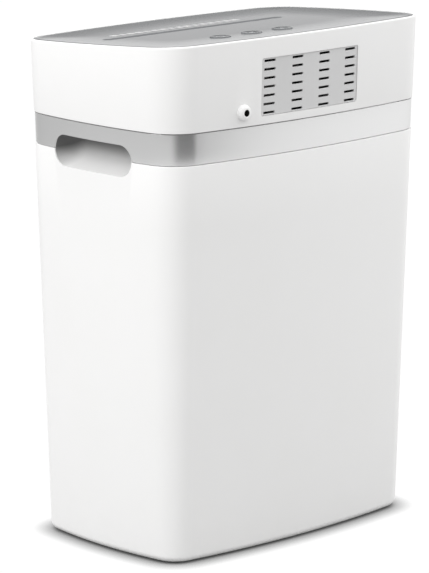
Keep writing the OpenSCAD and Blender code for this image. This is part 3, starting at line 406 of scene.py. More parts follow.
# %% [markdown]
# ## The bin
# The bin is one injection-moulded tub: a rounded foot, tall leaning walls, a rim that stands up
# inside the silver band and a plain inside. It is one stack of outlines that turns over the rim
# and goes down again. The lower half of each hand opening is cut into its top edge, a shallow
# pocket behind it thins the wall so that the hand cup comes close to the surface, and four
# pockets under the floor take the rubber feet.

# %% Model the bin
BAND_INSET, BAND_T = 0.5 * MM, 2.2 * MM
BIN_WALL, BIN_FLOOR = 2.8 * MM, 3 * MM
FOOT_PROUD = 1.5 * MM
BOTTOM_ROUND, FLOOR_ROUND, EDGE_ROUND = 6 * MM, 5 * MM, 0.6 * MM
RIM_T, RIM_GAP = 2 * MM, 0.4 * MM
RIM_INSET = BAND_INSET + BAND_T + RIM_GAP
STEP = 5 * MM


def bin_rings():
    """The outlines of the bin, from its foot over the rim to its floor."""
    rings = rounded(level, BOTTOM_ROUND, FOOT_PROUD, 0, FOOT_PROUD + BOTTOM_ROUND, True, 7)
    rings.append(level(0, BIN_TOP - 2 * GRIP_H))
    rings += rounded(level, 0, BIN_TOP - EDGE_ROUND, EDGE_ROUND, BIN_TOP, False)
    rings.append(level(RIM_INSET, BIN_TOP))
    rings += rounded(level, RIM_INSET, RIM_TOP - EDGE_ROUND, RIM_INSET + EDGE_ROUND, RIM_TOP, False)
    shoulder = RIM_INSET + RIM_T
    rings += [level(shoulder, RIM_TOP), level(shoulder, BIN_TOP - STEP), level(BIN_WALL, BIN_TOP - 2 * STEP)]
    floor_z = FOOT_PROUD + BIN_FLOOR
    rings += rounded(level, BIN_WALL, floor_z + FLOOR_ROUND, BIN_WALL + FLOOR_ROUND, floor_z, False)
    return rings


def cup_block(inset, low, high):
    """A block that ends this far inside the wall, between two heights."""
    bm = bmesh.new()
    stack(bm, [level(inset, low), level(inset, high)])
    return bm


CUP_HALF, CUP_ROOM, CUP_DEEP = 56.1 * MM, 19.75 * MM, 14 * MM
SKIN = 1.3 * MM


def cup_pocket_cutter(low, high):
    """Room for both hand cups between two heights: the wall keeps a thin skin, the rim stops short."""
    bm = bmesh.new()
    for side in SIDES:
        place = Matrix.Translation((side * side_x(BIN_TOP), 0, (low + high) / 2))
        block(bm, place, (2 * CUP_DEEP, 2 * CUP_HALF, high - low))
    blocks = mesh_object("cup pockets", bm)
    cut(blocks, cup_block(SKIN, low - MM, high + MM), "INTERSECT")
    gaps = bmesh.new()
    gaps.from_mesh(blocks.data)
    bpy.data.objects.remove(blocks)
    return gaps


foot_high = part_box("rubber_feet")[1]
FOOT_R, FOOT_GAP, POCKET_DEEP = 13 * MM, 0.3 * MM, 4 * MM


def foot_pocket_cutter():
    """Four shallow round pockets for the feet."""
    bm = bmesh.new()
    for sx, sy in CORNERS:
        at = (sx * (foot_high.x - FOOT_R), sy * (foot_high.y - FOOT_R), foot_high.z - POCKET_DEEP / 2)
        peg(bm, Matrix.Translation(at), FOOT_R + FOOT_GAP, POCKET_DEEP, MEDIUM_ROUND)
    return bm


bm = bmesh.new()
stack(bm, bin_rings())
bin_tub = mesh_object("bin_tub", bm, shell=True)
cut(bin_tub, grip_cutter())
cut(bin_tub, cup_pocket_cutter(BIN_TOP - CUP_ROOM, RIM_TOP + MM))
cut(bin_tub, foot_pocket_cutter())
set_in_frame(bin_tub, "bin", "white_plastic", "bin", soft=0.35 * MM)

# %% [markdown]
# ## The silver band
# A painted band covers the joint between the head and the bin. It lies half a millimetre behind
# the white walls, so a fine dark seam shows above and below it. It is a closed stack, a wall
# without ends. The upper half of each hand opening is cut from its lower edge, and the same
# pocket as in the bin thins it behind the hand cup.

# %% Model the band
BAND_LOW, BAND_TOP = band_low.z, band_high.z
BAND_ROUND = 0.4 * MM

bm = bmesh.new()
band_rings = rounded(level, BAND_INSET + BAND_ROUND, BAND_LOW, BAND_INSET, BAND_LOW + BAND_ROUND, True)
band_rings += rounded(level, BAND_INSET, BAND_TOP - BAND_ROUND, BAND_INSET + BAND_ROUND, BAND_TOP, False)
band_rings += [level(BAND_INSET + BAND_T, BAND_TOP), level(BAND_INSET + BAND_T, BAND_LOW)]
stack(bm, band_rings, closed=True)
silver_band = mesh_object("silver_band", bm, shell=True)
cut(silver_band, grip_cutter())
cut(silver_band, cup_pocket_cutter(BIN_TOP - CUP_ROOM, BIN_TOP + CUP_ROOM))
set_in_frame(silver_band, "head", "silver_trim", "trim_band", soft=0.3 * MM)

# %% [markdown]
# ## The head's cover
# The cover is a second white shell above the band. Its wall rises to a narrow rounded lip that
# frames the panel, steps down to a ledge for the panel, and comes back down on the inside. It is
# one closed stack again. A window for the vent and a round seat for the cord gland are cut
# through the rear wall, and four screw columns with webs are joined on inside the corners.

# %% Model the cover
LIP_W, LIP_HIGH, LIP_INNER_ROUND = 2.2 * MM, 2 * MM, 0.3 * MM
FOOT_ROUND = (0.4 * MM, 0.6 * MM)
PANEL_DROP = 4.2 * MM
LEDGE, LEDGE_T, LEDGE_SLANT = 9 * MM, MM, 6 * MM
COVER_WALL = 2.5 * MM
vent_low, vent_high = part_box("vent_grille")
FLANGE = Vector((3 * MM, 0, 2.5 * MM))
VENT_W = vent_high.x - vent_low.x - 2 * FLANGE.x
VENT_H = vent_high.z - vent_low.z - 2 * FLANGE.z
VENT_Z = (vent_high.z + vent_low.z) / 2
WINDOW_ROUND, WINDOW_REACH = 2 * MM, 15 * MM
gland_low, gland_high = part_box("cable_gland")
GLAND_R = (gland_high.x - gland_low.x) / 2
GLAND_NOSE = 5.6 * MM
GLAND_AT = middle((gland_low, gland_high))
GLAND_AT.y = gland_low.y + GLAND_NOSE


def cover_rings():
    """The outlines of the cover: up its outside, over the lip, in to the ledge and down."""
    rings = rounded(level, FOOT_ROUND[0], COVER_BOTTOM, 0, COVER_BOTTOM + FOOT_ROUND[1], True)
    rings += rounded(sloped, 0, LIP_HIGH, LIP_ROUND, 0, False, 6)
    rings += rounded(sloped, LIP_W - LIP_INNER_ROUND, 0, LIP_W, LIP_INNER_ROUND, True, 3)
    rings += [sloped(LIP_W, PANEL_DROP), sloped(LEDGE, PANEL_DROP), sloped(LEDGE, PANEL_DROP + LEDGE_T)]
    rings += [sloped(COVER_WALL, PANEL_DROP + LEDGE_SLANT), level(COVER_WALL, COVER_BOTTOM)]
    return rings


def window_cutter():
    """The window for the vent, through the rear wall."""
    bm = bmesh.new()
    round_patch(bm, VENT_W, VENT_H, WINDOW_ROUND, 5)
    prism(bm, bm.faces[:][0], WINDOW_REACH)
    bmesh.ops.transform(bm, matrix=Matrix.Translation((0, -BODY_D / 2, VENT_Z)) @ FACE_Y, verts=bm.verts)
    return bm


HOLE_R, HOLE_BACK, HOLE_FRONT = 6.2 * MM, -14 * MM, 10 * MM
SEAT_GAP = 0.3 * MM
REARWARD = Matrix.Rotation(math.pi / 2, 4, "X")


def gland_hole_cutter():
    """The gland's way through the wall and the flat seat for its head."""
    bm = bmesh.new()
    for radius, low in ((HOLE_R, HOLE_BACK), (GLAND_R + SEAT_GAP, 0)):
        at = GLAND_AT - Vector((0, (low + HOLE_FRONT) / 2, 0))
        peg(bm, Matrix.Translation(at) @ REARWARD, radius, HOLE_FRONT - low)
    return bm


BOSS_R, PILOT_R, PILOT_DEEP = 4.5 * MM, 1.5 * MM, 21.7 * MM
BOSS_LOW, BOSS_TOP = cover_low.z, COVER_BOTTOM + 36 * MM
BOSS_REACH = 17 * MM
WEB_T, WEB_RAISED = 3 * MM, 5 * MM


def spin_profile(bm, points, steps):
    """Spins a profile of (radius, height) points round Z into a closed shape."""
    verts = [bm.verts.new((radius, 0, height)) for radius, height in points]
    edges = [bm.edges.new(pair) for pair in zip(verts, verts[1:])]
    spin(bm, verts + edges, (0, 0, 0), 2 * math.pi, steps, merge=True)


def boss_bm():
    """Four columns with a blind pilot hole for the case screws."""
    bm = bmesh.new()
    centre = corner_centre(BODY_W / 2, BODY_D / 2, CORNER)[0]
    at = centre + (CORNER - BOSS_REACH) * Vector((math.cos(math.pi / 4), math.sin(math.pi / 4), 0))
    hole_top = BOSS_LOW + PILOT_DEEP
    profile = [(0, BOSS_TOP), (BOSS_R, BOSS_TOP), (BOSS_R, BOSS_LOW), (PILOT_R, BOSS_LOW),
               (PILOT_R, hole_top), (0, hole_top)]
    for sx, sy in CORNERS:
        draw_at(bm, Matrix.Translation((sx * at.x, sy * at.y, 0)), spin_profile, profile, COARSE_ROUND)
    return bm, at


def web_bm(at):
    """The webs that tie the columns to the cover's corners."""
    bm = bmesh.new()
    low, high = COVER_BOTTOM + WEB_RAISED, BOSS_TOP
    length = BOSS_REACH - draft_inset(low) - COVER_WALL / 2 - BOSS_R / 2
    for sx, sy in CORNERS:
        turn = Matrix.Rotation(math.atan2(sy, sx), 4, "Z")
        away = Matrix.Translation((BOSS_R / 2 + length / 2, 0, (low + high) / 2))
        place = Matrix.Translation((sx * at.x, sy * at.y, 0)) @ turn @ away
        block(bm, place, (length, WEB_T, high - low))
    return bm


bm = bmesh.new()
stack(bm, cover_rings(), closed=True)
white_cover = mesh_object("white_cover", bm, shell=True)
cut(white_cover, window_cutter())
cut(white_cover, gland_hole_cutter())
bosses, boss_at = boss_bm()
cut(white_cover, bosses, "UNION")
cut(white_cover, web_bm(boss_at), "UNION")
set_in_frame(white_cover, "head", "white_plastic", "head_cover", soft=0.25 * MM)

# %% [markdown]
# ## The panel
# The grey panel drops into the lip and is slightly dished, so its border catches another part of
# the room than its middle does. The dish is a quarter sine over a few outlines. The slot and the
# three button holes are cut square to the slope.

# %% Model the panel
DISH, DISH_W, DISH_STEPS = 1.2 * MM, 62 * MM, 14
PANEL_T = 3 * MM
PANEL_GAP, PANEL_ROUND, PANEL_SUNK = 0.15 * MM, 0.4 * MM, 0.05 * MM
SLOT_LEN, SLOT_W, SLOT_DEEP, SLOT_ABOVE = 226 * MM, 8 * MM, 8 * MM, 4 * MM
SLOT_AT = (-20 * MM, 21.5 * MM)
SLOT_LEAD, LEAD_DEEP = 3 * MM, 1.5 * MM
BUTTON_R, BUTTON_GAP, HOLE_DEEP = 10 * MM, 0.3 * MM, 16 * MM
BUTTON_Y = -61 * MM
BUTTON_NODES = ("power_button", "reverse_button", "forward_button")
BOARD_DROP = 14 * MM
POST_R, POST_GAP = 3 * MM, 0.3 * MM


def on_panel(x, y):
    """The place on the dished face, with Z square to it."""
    return Matrix.Translation((x, y, top_z(y) - DISH)) @ Matrix.Rotation(-SLOPE, 4, "X")


def button_place(node):
    """Where a button stands, from its own box."""
    return on_panel(middle(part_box(node)).x, BUTTON_Y)


def panel_rings():
    """The outlines of the panel, from its underside to the flat of the dish."""
    edge = LIP_W + PANEL_GAP
    flat = edge + PANEL_ROUND
    rings = [sloped(flat, PANEL_DROP), sloped(edge, PANEL_DROP - PANEL_ROUND)]
    rings += rounded(sloped, edge, PANEL_SUNK + PANEL_ROUND, flat, PANEL_SUNK, False, 3)
    for i in range(1, DISH_STEPS + 1):
        share = i / DISH_STEPS
        drop = PANEL_SUNK + (DISH - PANEL_SUNK) * math.sin(math.pi / 2 * share)
        rings.append(sloped(flat + (DISH_W - edge) * share, drop))
    return rings


def panel_cutter():
    """The slot and the three button holes."""
    bm = bmesh.new()
    loops = []
    for wider, height in ((0, -SLOT_DEEP), (0, -LEAD_DEEP), (SLOT_LEAD, 0), (SLOT_LEAD, SLOT_ABOVE)):
        verts = stadium_loop(bm, SLOT_LEN + wider, SLOT_W + wider)
        bmesh.ops.translate(bm, verts=verts, vec=(0, 0, height))
        loops.append(loop_edges(verts))
    join_loops(bm, loops, Z_AXIS)
    bmesh.ops.transform(bm, matrix=on_panel(*SLOT_AT), verts=bm.verts)
    for node in BUTTON_NODES:
        peg(bm, button_place(node), BUTTON_R + BUTTON_GAP, HOLE_DEEP)
    return bm


def post_bm():
    """The two posts that carry the button board."""
    bm = bmesh.new()
    at = middle(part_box("reverse_button")).x
    reach = 1.5 * (at - middle(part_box("power_button")).x)
    length = BOARD_DROP - PANEL_T / 2 - POST_GAP
    for side in SIDES:
        low_end = Matrix.Translation((0, 0, -BOARD_DROP + POST_GAP + length / 2))
        peg(bm, on_panel(at + side * reach, BUTTON_Y) @ low_end, POST_R, length, COARSE_ROUND)
    return bm


bm = bmesh.new()
stack(bm, panel_rings())
grey_panel = mesh_object("grey_panel", bm)
cut(grey_panel, post_bm(), "UNION")
cut(grey_panel, panel_cutter())
set_in_frame(grey_panel, "head", "grey_panel", "control_panel", soft=0.35 * MM)

# %% [markdown]
# ## Guide marks beside the slot
# A row of plain white marks is printed in front of the slot. They are thin printed patches: small
# grids with rounded corners, thickened by a few hundredths of a millimetre and laid on the panel.

# %% Print the guide marks
MARK_Y, MARK_FROM, MARK_TO = 44 * MM, -101 * MM, 54 * MM
MARK_COUNT = 16
MARK_DEPTH, MARK_ROUND = 8 * MM, 1.2 * MM
MARK_WIDTHS = (8 * MM, 5 * MM, 7 * MM)
INK = 0.04 * MM

bm = bmesh.new()
pitch = (MARK_TO - MARK_FROM) / (MARK_COUNT - 1)
for i in range(MARK_COUNT):
    width = MARK_WIDTHS[i % len(MARK_WIDTHS)]
    draw_at(bm, on_panel(MARK_FROM + i * pitch, MARK_Y), round_patch, width, MARK_DEPTH, MARK_ROUND, 4)
pull(bm, bm.faces[:], (0, 0, INK))
guide_marks = mesh_object("guide_marks", bm)
set_in_frame(guide_marks, "head", "white_plastic")

# %% [markdown]
# ## The hand recesses
# Behind each hand opening sits a cup for the fingers: full height at its mouth, shallower and
# higher at its back, with no sharp fold on the way. Its outlines are stadiums along X. A quarter
# turn of sine and cosine gives the depth and the narrowing, so the wall leaves the mouth square
# and runs smoothly into the back. A copy grown by the wall's thickness is its outside, and the
# mouth is trimmed just behind the thin skin of the body's wall, so that it follows the bow.

# %% Model the hand cups
CUP_INSET = SKIN + 0.2 * MM
CUP_T, CUP_OVER = 2 * MM, MM
CUP_DROP, CUP_RISE, CUP_NARROWS = 3 * MM, 13 * MM, 30 * MM
CUP_STEPS = 14
cup_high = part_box("grip_cup_left")[1]


def cup_ring(bm, side, t, grow):
    """One stadium of a cup; t runs from the mouth to the back."""
    mouth = side_x(BIN_TOP) + CUP_OVER
    back = -cup_high.x + CUP_T - grow
    depth = (mouth - back) * math.sin(math.pi / 2 * t)
    narrower = 1 - math.cos(math.pi / 2 * t)
    roof = GRIP_H / 2 - CUP_DROP * narrower
    sill = -GRIP_H / 2 + CUP_RISE * t ** 1.6
    length = GRIP_LEN + CUP_OVER - CUP_NARROWS * narrower
    verts = stadium_loop(bm, length + 2 * grow, roof - sill + CUP_OVER + 2 * grow)
    place = Matrix.Translation((side * (mouth - depth), 0, BIN_TOP + (roof + sill) / 2)) @ FACE_X
    bmesh.ops.transform(bm, matrix=place, verts=verts)
    return loop_edges(verts)


def hand_cup(name, side, node):
    """A cup with a smooth inside, closed round its outside."""
    bm = bmesh.new()
    outer = [cup_ring(bm, side, 1 - i / CUP_STEPS, CUP_T) for i in range(CUP_STEPS + 1)]
    inner = [cup_ring(bm, side, i / CUP_STEPS, 0) for i in range(CUP_STEPS + 1)]
    join_loops(bm, outer + inner, Vector((side, 0, 0)))
    cup = mesh_object(name, bm, shell=True)
    cut(cup, cup_block(CUP_INSET, BIN_TOP - CUP_ROOM, BIN_TOP + CUP_ROOM), "INTERSECT")
    return set_in_frame(cup, "head", "white_plastic", node)


hand_cup_left = hand_cup("hand_cup_left", -1, "grip_cup_left")
hand_cup_right = hand_cup("hand_cup_right", 1, "grip_cup_right")

# %% [markdown]
# ## The vent grille
# The grille is a grey plate with rows of short slots and a flange behind the wall. A grid whose
# lines are moved to the slots' edges needs no cutting: the faces in the slots are deleted, the
# rest is extruded to the flange's thickness, and the faces inside the window are extruded again.
# From behind, the plate is hollowed round its slots, as a moulded grille is, so that they look
# open from the side too. At last every point is laid on the bowed and leaning wall.

# %% Model the grille
VENT_COLUMNS, VENT_ROWS = 4, 7
VENT_SLOT = Vector((13.7 * MM, 0, 2.2 * MM))
VENT_BORDER = Vector((3.5 * MM, 0, 1.6 * MM))
COLUMN_PITCH = (VENT_W - VENT_SLOT.x - 2 * VENT_BORDER.x) / (VENT_COLUMNS - 1)
ROW_PITCH = (VENT_H - VENT_SLOT.z - 2 * VENT_BORDER.z) / (VENT_ROWS - 1)
PLATE_GAP, PLATE_SUNK, PLATE_THIN = 0.25 * MM, 0.7 * MM, 1.4 * MM
FLANGE_FRONT, FLANGE_BACK = 2.7 * MM, 3.9 * MM


def slot_lines(count, pitch, width, window, flange):
    """Grid lines along one direction: flange, window and slot edges."""
    slots = []
    for i in range(count):
        centre = (i - (count - 1) / 2) * pitch
        slots += [centre - width / 2, centre + width / 2]
    half = window / 2
    return [-half - flange, -half + PLATE_GAP, *slots, half - PLATE_GAP, half + flange]


lines_x = slot_lines(VENT_COLUMNS, COLUMN_PITCH, VENT_SLOT.x, VENT_W, FLANGE.x)
lines_z = slot_lines(VENT_ROWS, ROW_PITCH, VENT_SLOT.z, VENT_H, FLANGE.z)
bm = bmesh.new()
cells_x, cells_z = len(lines_x) - 1, len(lines_z) - 1
bmesh.ops.create_grid(bm, x_segments=cells_x, y_segments=cells_z, size=0.5)
for vertex in bm.verts:
    column = round((vertex.co.x + 0.5) * cells_x)
    row = round((vertex.co.y + 0.5) * cells_z)
    vertex.co = (lines_x[column], 0, lines_z[row])


def cell(face):
    """Column and row of a face of the grid."""
    low_x = min(v.co.x for v in face.verts)
    low_z = min(v.co.z for v in face.verts)
    return (min(range(len(lines_x)), key=lambda i: abs(lines_x[i] - low_x)),
            min(range(len(lines_z)), key=lambda i: abs(lines_z[i] - low_z)))


def in_window(face):
    """Whether a face lies inside the window and not on the flange."""
    column, row = cell(face)
    return 0 < column < cells_x - 1 and 0 < row < cells_z - 1


in_slot = [f for f in bm.faces if in_window(f) and cell(f)[0] % 2 == 0 and cell(f)[1] % 2 == 0]
bmesh.ops.delete(bm, geom=in_slot, context="FACES")
front = pull(bm, bm.faces[:], (0, FLANGE_FRONT - FLANGE_BACK, 0))
inner = [f for f in front if in_window(f)]
pull(bm, inner, (0, PLATE_SUNK - FLANGE_FRONT, 0))
bmesh.ops.delete(bm, geom=inner, context="FACES")
hollow_x, hollow_z = lines_x[-2] - MM / 2, lines_z[-2] - MM / 2
for vertex in bm.verts:
    round_slots = abs(vertex.co.x) < hollow_x and abs(vertex.co.z) < hollow_z
    depth = vertex.co.y + FLANGE_BACK
    if round_slots:
        depth = PLATE_SUNK + (depth - PLATE_SUNK) * PLATE_THIN / (FLANGE_BACK - PLATE_SUNK)
    vertex.co.z += VENT_Z
    vertex.co.y = rear_y(vertex.co.x, vertex.co.z) + depth
vent_plate = mesh_object("vent_plate", bm)
set_in_frame(vent_plate, "head", "grille_grey", "vent_grille", soft=0.25 * MM)

# %% [markdown]
# ## The cord gland
# A round plastic gland guards the cord's way through the rear wall. Like any turned shape it is a
# profile spun once round its axis: a threaded body behind the wall, a flat collar on its seat and
# a domed nose with the bore.

# %% Model the gland
BORE_R, BORE_EDGE = 3 * MM, 0.4 * MM
TIP_R = BORE_R + 0.5 * MM
GLAND_BODY_R, GLAND_BACK = 6 * MM, 12 * MM
COLLAR, DOME_STEPS = 2 * MM, 10


def gland_profile():
    """(radius, height) points, heights outwards from the seat."""
    points = [(BORE_R, -GLAND_BACK), (GLAND_BODY_R, -GLAND_BACK), (GLAND_BODY_R, 0), (GLAND_R, 0),
              (GLAND_R, COLLAR)]
    for i in range(1, DOME_STEPS + 1):
        turn = math.pi / 2 * i / DOME_STEPS
        points.append((TIP_R + (GLAND_R - TIP_R) * math.cos(turn),
                       COLLAR + (GLAND_NOSE - COLLAR) * math.sin(turn)))
    return points + [(BORE_R, GLAND_NOSE - BORE_EDGE), (BORE_R, -GLAND_BACK)]


bm = bmesh.new()
draw_at(bm, Matrix.Translation(GLAND_AT) @ REARWARD, spin_profile, gland_profile(), FINE_ROUND)
gland = mesh_object("gland", bm)
set_in_frame(gland, "head", "white_plastic", "cable_gland", soft=0.2 * MM)

# %% [markdown]
# ## The buttons
# Each button is a cap that stands a little out of the panel, dished for the fingertip, with a
# flange that keeps it in and a stem that reaches the switch under it. They are three spun
# profiles, each riding on its own body so that it can be pressed.

# %% Model the buttons
CAP_TOP, CAP_DISH, CAP_STEPS = 0.9 * MM, 0.5 * MM, 8
CAP_EDGE_W, CAP_EDGE_H, CAP_EDGE_STEPS = 1.4 * MM, MM, 6
FLANGE_R, FLANGE_TOP = BUTTON_R + 1.6 * MM, -PANEL_T - 0.3 * MM
FLANGE_LOW = FLANGE_TOP - 1.4 * MM
STEM_R, STEM_TIP_R, STEM_LOW = 3 * MM, 2.4 * MM, -BOARD_DROP + 5.4 * MM


def button_profile():
    """(radius, height) points from the middle of the cap round to the end of the stem."""
    flat_r = BUTTON_R - CAP_EDGE_W
    points = [(0, CAP_TOP - CAP_DISH)]
    for i in range(1, CAP_STEPS + 1):
        share = i / CAP_STEPS
        points.append((flat_r * share, CAP_TOP - CAP_DISH * (1 - share ** 2)))
    for i in range(1, CAP_EDGE_STEPS + 1):
        turn = math.pi / 2 * i / CAP_EDGE_STEPS
        points.append((flat_r + CAP_EDGE_W * math.sin(turn), CAP_TOP - CAP_EDGE_H * (1 - math.cos(turn))))
    points += [(BUTTON_R, FLANGE_TOP), (FLANGE_R, FLANGE_TOP), (FLANGE_R, FLANGE_LOW)]
    return points + [(STEM_R, FLANGE_LOW), (STEM_TIP_R, STEM_LOW), (0, STEM_LOW)]


buttons = {}
for node in BUTTON_NODES:
    bm = bmesh.new()
    draw_at(bm, button_place(node), spin_profile, button_profile(), FINE_ROUND)
    cap = mesh_object(node + "_cap", bm)
    buttons[node] = set_in_frame(cap, node, "grey_panel", node)

# %% [markdown]
# ## Writing shader maths as expressions
# A finish varies over a surface: grain, flakes, faint clouds in the colour. In the shader each sum
# or product is a node, and a long chain of nodes is hard to read. A small class wraps a socket, so
# that an expression on fields adds its Math nodes by itself. Every other node comes from one
# method that sets a node's settings first and then its sockets.

# %% Fields and finishes


class Field:
    """A value that varies over a surface; arithmetic on it adds Math nodes."""

    def __init__(self, nodes, socket):
        self.nodes = nodes
        self.socket = socket

    def math(self, operation, *others):
        return self.nodes.math(operation, self, *others)

    def __add__(self, other):
        return self.math("ADD", other)

    def __sub__(self, other):
        return self.math("SUBTRACT", other)

    def __rsub__(self, other):
        return self.nodes.math("SUBTRACT", other, self)

    def __mul__(self, other):
        return self.math("MULTIPLY", other)

    def __truediv__(self, other):
        return self.math("DIVIDE", other)

    def __lt__(self, other):
        return self.math("LESS_THAN", other)

    def __gt__(self, other):
        return self.math("GREATER_THAN", other)

    def __abs__(self):
        return self.math("ABSOLUTE")

    __radd__ = __add__
    __rmul__ = __mul__

    def ramp(self, low, high):
        """0 below low, 1 above high and a smooth step between."""
        return self.nodes.add("ShaderNodeMapRange", {"interpolation_type": "SMOOTHSTEP"},
                              {"Value": self, "From Min": low, "From Max": high})


class Nodes:
    """A node tree to which any node can be added in one line."""

    def __init__(self, tree):
        self.tree = tree

    def put(self, socket, value):
        if isinstance(value, Field):
            self.tree.links.new(value.socket, socket)
        else:
            socket.default_value = value

    def add(self, kind, settings=None, sockets=None, output=0):
        made = self.tree.nodes.new(kind)
        for key, value in (settings or {}).items():
            if key == "stops":
                set_stops(made.color_ramp, value)
            else:
                setattr(made, key, value)
        for key, value in (sockets or {}).items():
            self.put(made.inputs[key], value)
        return Field(self, made.outputs[output])

    def math(self, operation, *values):
        return self.add("ShaderNodeMath", {"operation": operation}, dict(enumerate(values)))

    def point(self):
        return self.add("ShaderNodeTexCoord", output=3)

    def part(self, vector, axis):
        """One coordinate of a vector, by the letter of its axis."""
        return self.add("ShaderNodeSeparateXYZ", None, {0: vector}, output="xyz".index(axis))

    def cells(self, scale):
        """A random value for each cell of a pattern of uneven cells."""
        at = {"Vector": self.point(), "Scale": scale}
        colour = self.add("ShaderNodeTexVoronoi", {"feature": "F1"}, at, output=1)
        return self.add("ShaderNodeSeparateColor", None, {0: colour}, output=0)

    def blend(self, factor, first, second):
        """A colour between two colours."""
        return self.add("ShaderNodeMix", {"data_type": "RGBA"}, {0: factor, 6: first, 7: second}, output=2)


def set_stops(ramp, stops):
    """Places a colour ramp's stops, given as (position, grey value)."""
    while len(ramp.elements) < len(stops):
        ramp.elements.new(1.0)
    for element, (position, value) in zip(ramp.elements, stops):
        element.position = position
        element.color = (value, value, value, 1)


class Finish(Nodes):
    """A procedural material; constants sit on the shader's own sockets."""

    def __init__(self, name, **constants):
        self.material = bpy.data.materials.new(name)
        self.material.use_nodes = True
        super().__init__(self.material.node_tree)
        self.shader = self.tree.nodes["Principled BSDF"]
        for key, value in constants.items():
            self.shader.inputs[key.replace("_", " ")].default_value = value

    def feed(self, name, value):
        self.put(self.shader.inputs[name], value)

    def noise(self, scale, detail=2.0, stretch=None):
        """Fractal noise with features of 1/scale metres; stretch scales its axes."""
        at = self.point()
        if stretch:
            at = self.add("ShaderNodeMapping", None, {"Vector": at, "Scale": stretch})
        return self.add("ShaderNodeTexNoise", None, {"Vector": at, "Scale": scale, "Detail": detail})

    def tint(self, dark, light, field):
        """Varies the base colour between two near colours."""
        self.feed("Base Color", self.blend(field, (*dark, 1), (*light, 1)))

    def grain(self, field, height, strength=1.0):
        """Raises the surface by a field of this height in metres."""
        bump = {"Strength": strength, "Distance": height, "Height": field}
        self.feed("Normal", self.add("ShaderNodeBump", None, bump))

    def surface(self, shader):
        """Puts another shader in place of the usual one."""
        self.put(self.tree.nodes["Material Output"].inputs["Surface"], shader)


def distance(a, b):
    """How far a point is from where both fields are 0."""
    square = a * a + b * b
    return square.math("SQRT")


def grey(value, warm=0.0):
    """A near-neutral colour; warm above 0 adds a little yellow."""
    return value, value * (1 - warm / 3), value * (1 - warm)


# %% [markdown]
# ## The white shells
# The shells are moulded in a white, satin styrene whose mould was spark-eroded, so its skin has a
# very fine grain and a soft, even gloss. Two scales of noise do it: clouds of some centimetres
# move the colour and the gloss by about one part in a hundred, and a grain of half a millimetre
# lies in the bump.

# %% White moulded plastic
WHITE_GRAIN, WHITE_SKIN = 2200, (0.012 * MM, 0.6)


def white_styrene():
    """Satin white with a fine eroded grain."""
    finish = Finish("white styrene", IOR=1.5)
    clouds = finish.noise(14, 3)
    grain = finish.noise(WHITE_GRAIN, 2)
    finish.tint(grey(0.80, 0.012), grey(0.825, 0.004), clouds)
    finish.feed("Roughness", 0.36 + 0.07 * clouds + 0.05 * grain)
    finish.grain(grain, *WHITE_SKIN)
    return finish.material


# %% White plastic of the hand cups, with painted shade in the recess
# Painted shade in the cups: where the roof and the ends grey, and the grey they reach.
CUP_SHADE, CUP_END_SHADE, CUP_SHADE_GREY = (-10 * MM, 12 * MM), (34 * MM, 54 * MM), 0.12


def white_with_painted_cup_shade():
    """The same white with painted shade: greyer towards the roof and both ends of a cup."""
    finish = Finish("white styrene with painted shade in the cups", IOR=1.5)
    # Painted shade of the recess: grey towards the roof and both ends, with a little noise.
    roof = (finish.part(finish.point(), "z") - BIN_TOP).ramp(*CUP_SHADE)
    end = abs(finish.part(finish.point(), "y")).ramp(*CUP_END_SHADE)
    painted_shade = roof + 0.45 * end + 0.04 * finish.noise(60, 3)
    grain = finish.noise(WHITE_GRAIN, 2)
    finish.tint(grey(0.81, 0.008), grey(CUP_SHADE_GREY, 0.008), painted_shade)
    finish.feed("Roughness", 0.42 + 0.1 * grain)
    finish.grain(grain, *WHITE_SKIN)
    return finish.material


# %% White plastic of the gland, with painted shade in its bore
BORE_SHADE_R = (BORE_R + 0.1 * MM, BORE_R + 0.25 * MM)


def white_with_painted_bore_shade():
    """White plastic whose bore is near black and rough: painted shade of the deep hole."""
    finish = Finish("white nylon with painted bore shade", IOR=1.5)
    x = finish.part(finish.point(), "x") - GLAND_AT.x
    z = finish.part(finish.point(), "z") - GLAND_AT.z
    # Painted shade: near black inside the bore's radius, white outside it.
    outside = distance(x, z).ramp(*BORE_SHADE_R)
    grain = finish.noise(WHITE_GRAIN, 2)
    finish.tint(grey(0.012), grey(0.82, 0.006), outside)
    finish.feed("Roughness", 0.7 - 0.38 * outside + 0.05 * grain)
    finish.grain(grain, 0.01 * MM, 0.5)
    return finish.material


# %% [markdown]
# ## The grey panel and its buttons
# The panel is dark grey with a satin skin, which looks far lighter when it is seen at a flat
# angle, because it then mirrors the pale room. The buttons share it. Their signs are printed, so
# they are masks in the colour: distances from the button's middle, worked out in the plane of the
# slope, give a ring with a gap and a bar for power, and arrowheads for back and forward.

# %% Grey satin plastic, plain and with printed signs
INK_GREY = (0.62, 0.62, 0.63)
PANEL_DARK, PANEL_LIGHT = (0.158, 0.162, 0.167), (0.172, 0.177, 0.182)


def satin_grey(name, sign=None, place=None):
    """Dark grey satin plastic; sign(u, v) may print a mask around a place."""
    finish = Finish(name, IOR=1.5)
    clouds = finish.noise(22, 3)
    grain = finish.noise(1900, 2)
    base = finish.blend(clouds, (*PANEL_DARK, 1), (*PANEL_LIGHT, 1))
    if sign:
        turned = finish.add("ShaderNodeMapping", {"vector_type": "TEXTURE"},
                            {"Vector": finish.point(), "Location": place.translation,
                             "Rotation": place.to_euler()})
        mask = sign(finish.part(turned, "x") / MM, finish.part(turned, "y") / MM)
        base = finish.blend(mask, base, (*INK_GREY, 1))
    finish.feed("Base Color", base)
    finish.feed("Roughness", 0.10 + 0.03 * clouds + 0.03 * grain)
    finish.grain(grain, 0.0012 * MM, 0.5)
    return finish.material


